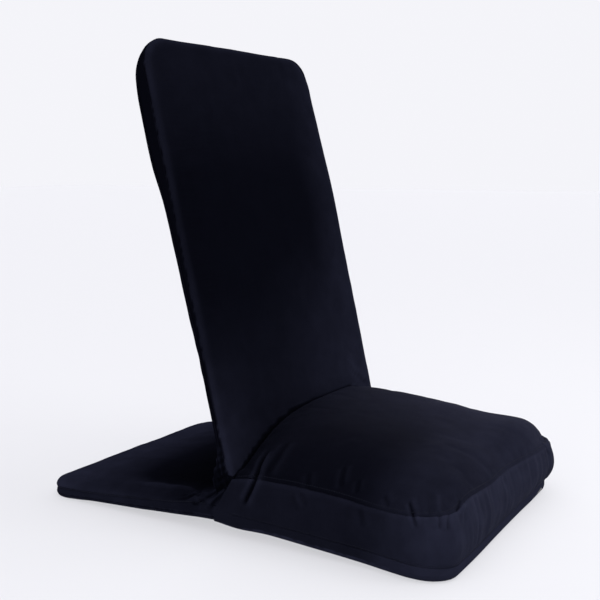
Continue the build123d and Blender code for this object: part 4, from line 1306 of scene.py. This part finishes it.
# ---------------------------------------------------------------- settings
class ChairClothSettings(bpy.types.PropertyGroup):
    canvas_colour: FloatVectorProperty(
        name="Canvas colour", description="Base colour of the cotton canvas", subtype="COLOR",
        default=(0.0012, 0.0013, 0.0025), min=0.0, max=1.0,
    )
    base_colour: FloatVectorProperty(
        name="Base cloth colour", description="Colour of the close-woven cloth under the chair",
        subtype="COLOR", default=(0.0014, 0.0015, 0.0027), min=0.0, max=1.0,
    )
    canvas_sheen: FloatProperty(
        name="Canvas sheen", description="Soft sheen of the canvas at a flat angle",
        default=0.010, min=0.0, max=1.0,
    )
    weave_pitch: FloatProperty(
        name="Weave pitch", description="Distance between the canvas threads, in millimetres",
        default=0.9, min=0.3, max=3.0,
    )


class ChairStageSettings(bpy.types.PropertyGroup):
    floor_colour: FloatVectorProperty(
        name="Floor colour", description="Colour of the pale floor", subtype="COLOR",
        default=(0.235, 0.235, 0.242), min=0.0, max=1.0,
    )
    floor_glow: FloatProperty(
        name="Floor glow", description="Light that the pale floor gives off by itself",
        default=0.54, min=0.0, max=1.0,
    )
    lens: FloatProperty(
        name="Lens", description="Focal length of the camera", default=58.69, min=20.0, max=200.0,
    )


# ---------------------------------------------------------------- stage
LIGHT_TINT = (0.955, 0.955, 1.0)
PALE_STRENGTH = 0.95            # of the backdrop where the camera sees it
# Soft lights of the world: direction, angles in degrees where each is full and where it ends, strength
SOFTBOXES = (
    ((0.857, 0.516, 0.0), 25, 50, 0.94),
    ((0.0, 0.0, 1.0), 20, 60, 1.5),
    ((0.47, -0.814, 0.342), 20, 65, 0.30),
    ((0.90, -0.38, 0.21), 20, 60, 1.5),
    ((0.30, 0.92, 0.25), 20, 55, 0.5),
    ((-0.97, -0.12, 0.21), 20, 60, 2.2),
)

# Area lights: place, target, size and power
LAMPS = {
    "front_softbox": ((0.3, -1.8, 1.6), (0.0, -0.1, 0.1), (1.0, 1.0), 18.0),
    "low_reflector": ((0.5, -1.6, 0.35), (0.1, -0.2, 0.06), (1.0, 0.4), 2.5),
}
CAMERA_PLACE = (-1.2501, -0.7524, 0.5078)
CAMERA_TURN = (58.93, -8.19, -0.27)     # yaw, pitch and roll in degrees
FLOOR_REACH = 14.0


def make_floor(colour):
    """Pale sheet that also glows a little: its emission is painted light that lights the chair from below and
    softens the shadows on the floor.
    """
    finish = Finish("floor", **{"Roughness": 0.9, "Specular IOR Level": 0.1, "Emission Strength": 1.0})
    speckle = finish.noise(finish.object_place(), 14.0, 3.0)
    glow = bpy.context.scene.chair_stage.floor_glow
    finish.set(finish.surface, {
        "Base Color": finish.mix(speckle, colour, tuple(c * 0.985 for c in colour)),
        "Emission Color": (glow, glow, glow * 1.045),
    })
    mesh = bpy.data.meshes.new("floor")
    corners = [(x * FLOOR_REACH, y * FLOOR_REACH, 0) for x, y in ((-1, -1), (1, -1), (1, 1), (-1, 1))]
    mesh.from_pydata(corners, [], [(0, 1, 2, 3)])
    floor = bpy.data.objects.new("floor", mesh)
    floor.data.materials.append(finish.material)
    bpy.context.scene.collection.objects.link(floor)


def make_world():
    """Soft light from all round, by direction; pale wherever the camera looks."""
    world = bpy.data.worlds.new("studio")
    world.use_nodes = True
    nodes = Nodes(world.node_tree)
    place = nodes.value("ShaderNodeTexCoord", {}, {}, "Generated")
    strength = 0.0
    for direction, inner, outer, level in SOFTBOXES:
        facing = nodes.value(
            "ShaderNodeVectorMath", {"operation": "DOT_PRODUCT"}, {0: place, 1: direction}, "Value",
        )
        low, high = (math.cos(math.radians(angle)) for angle in (outer, inner))
        strength = facing.above(low, high, level) + strength
    backdrop = nodes.tree.nodes["Background"]
    nodes.set(backdrop, {"Color": LIGHT_TINT, "Strength": strength})
    pale = nodes.value("ShaderNodeBackground", {}, {"Color": LIGHT_TINT, "Strength": PALE_STRENGTH})
    seen = nodes.value("ShaderNodeLightPath", {}, {}, "Is Camera Ray")
    shaders = {0: seen, 1: Value(nodes, backdrop.outputs["Background"]), 2: pale}
    either = nodes.value("ShaderNodeMixShader", {}, shaders)
    nodes.set(nodes.tree.nodes["World Output"], {"Surface": either})
    bpy.context.scene.world = world


def make_lights():
    for name, (place, target, size, power) in LAMPS.items():
        light = bpy.data.lights.new(name, "AREA")
        light.shape = "RECTANGLE"
        light.size, light.size_y = size
        light.energy = power
        lamp = bpy.data.objects.new(name, light)
        lamp.location = place
        lamp.rotation_euler = (Vector(target) - Vector(place)).to_track_quat("-Z", "Y").to_euler()
        lamp.visible_camera = False
        bpy.context.scene.collection.objects.link(lamp)


def make_camera(lens):
    data = bpy.data.cameras.new("photo_view")
    data.lens = lens
    data.sensor_width = 36.0
    data.clip_end = 60.0
    camera = bpy.data.objects.new("photo_view", data)
    yaw, pitch, roll = (math.radians(angle) for angle in CAMERA_TURN)
    forward = Vector((math.sin(yaw) * math.cos(pitch), math.cos(yaw) * math.cos(pitch), math.sin(pitch)))
    right = forward.cross(Vector((0, 0, 1))).normalized()
    up = right.cross(forward)
    right_rolled = right * math.cos(roll) + up * math.sin(roll)
    up_rolled = up * math.cos(roll) - right * math.sin(roll)
    turn = Matrix((right_rolled, up_rolled, -forward)).transposed()
    camera.matrix_world = Matrix.Translation(CAMERA_PLACE) @ turn.to_4x4()
    bpy.context.scene.collection.objects.link(camera)
    bpy.context.scene.camera = camera


# ---------------------------------------------------------------- operators
class ChairStage(bpy.types.Operator):
    """Sets the pale floor, the soft studio light and the camera"""

    bl_idname = "chair.stage"
    bl_label = "Stage"

    def execute(self, context):
        stage = context.scene.chair_stage
        make_floor(tuple(stage.floor_colour))
        make_world()
        make_lights()
        make_camera(stage.lens)
        context.scene.view_settings.view_transform = "Standard"
        return {"FINISHED"}


class ChairBackCover(bpy.types.Operator):
    """Makes the canvas pocket over the back"""

    bl_idname = "chair.back_cover"
    bl_label = "Back cover"

    def execute(self, context):
        make_back_cover()
        return {"FINISHED"}


class ChairBaseCloth(bpy.types.Operator):
    """Makes the cloth under the seat, turned up to its lower seam, with its zip"""

    bl_idname = "chair.base_cloth"
    bl_label = "Base cloth and zip"

    def execute(self, context):
        make_base_cloth()
        make_zip()
        return {"FINISHED"}


class ChairTailCover(bpy.types.Operator):
    """Makes the tail's cover with its sleeve over the hinge"""

    bl_idname = "chair.tail_cover"
    bl_label = "Tail cover"

    def execute(self, context):
        make_tail_stitches(make_tail_cover())
        return {"FINISHED"}


class ChairBackBoot(bpy.types.Operator):
    """Makes the loose cloth round the foot of the back"""

    bl_idname = "chair.back_boot"
    bl_label = "Boot of the back"

    def execute(self, context):
        make_back_boot()
        return {"FINISHED"}


class ChairCushion(bpy.types.Operator):
    """Makes the boxed seat cushion"""

    bl_idname = "chair.cushion"
    bl_label = "Seat cushion"

    def execute(self, context):
        make_seat_stitches(make_cushion())
        return {"FINISHED"}


HARD_FINISHES = {
    "frame_paint": (
        "seat_frame_tube", "seat_cross_tube", "back_frame_tube", "back_cross_tube", "tail_frame_tube",
        "tail_cross_tube", "hinge_bracket_left", "hinge_bracket_right", "tail_hinge_arm_left",
        "tail_hinge_arm_right",
    ),
    "zinc_steel": (
        "bracket_rivets", "back_stop_pins", "back_pivot_bolts", "back_pivot_nuts", "back_pivot_washers",
        "tail_pivot_bolts", "tail_pivot_nuts", "tail_pivot_washers",
    ),
    "nylon": ("seat_tube_plugs", "back_tube_plugs", "tail_tube_plugs", "back_pivot_bushes"),
    "zip_metal": ("zip_slider",),
}


class ChairHardware(bpy.types.Operator):
    """Gives the frame, the hinges and the fasteners their finishes"""

    bl_idname = "chair.hardware"
    bl_label = "Frame and hinges"

    def execute(self, context):
        for name, nodes in HARD_FINISHES.items():
            for node in nodes:
                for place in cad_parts[node].material_slots:
                    place.material = chair_finish(name)
        return {"FINISHED"}


class ChairPanel(bpy.types.Panel):
    """Lists the pieces of the chair and their settings"""

    bl_idname = "VIEW3D_PT_floor_chair"
    bl_label = "Folding floor chair"
    bl_space_type = "VIEW_3D"
    bl_region_type = "UI"
    bl_category = "Floor chair"

    def draw(self, context):
        for settings in (context.scene.chair_cloth, context.scene.chair_stage):
            for name in settings.bl_rna.properties.keys():
                if name not in ("name", "rna_type"):
                    self.layout.prop(settings, name)
        for piece in PIECE_OPERATORS:
            self.layout.operator(piece.bl_idname)


PIECE_OPERATORS = (
    ChairStage, ChairBackCover, ChairCushion, ChairBaseCloth, ChairTailCover, ChairBackBoot, ChairHardware,
)
CLASSES = (ChairClothSettings, ChairStageSettings, *PIECE_OPERATORS, ChairPanel)


def register():
    for made in CLASSES:
        bpy.utils.register_class(made)
    bpy.types.Scene.chair_cloth = PointerProperty(type=ChairClothSettings)
    bpy.types.Scene.chair_stage = PointerProperty(type=ChairStageSettings)


def unregister():
    del bpy.types.Scene.chair_stage
    del bpy.types.Scene.chair_cloth
    for made in reversed(CLASSES):
        bpy.utils.unregister_class(made)


def main():
    register()
    for operator in PIECE_OPERATORS:
        group, name = operator.bl_idname.split(".")
        getattr(getattr(bpy.ops, group), name)()


if __name__ == "__main__":
    main()
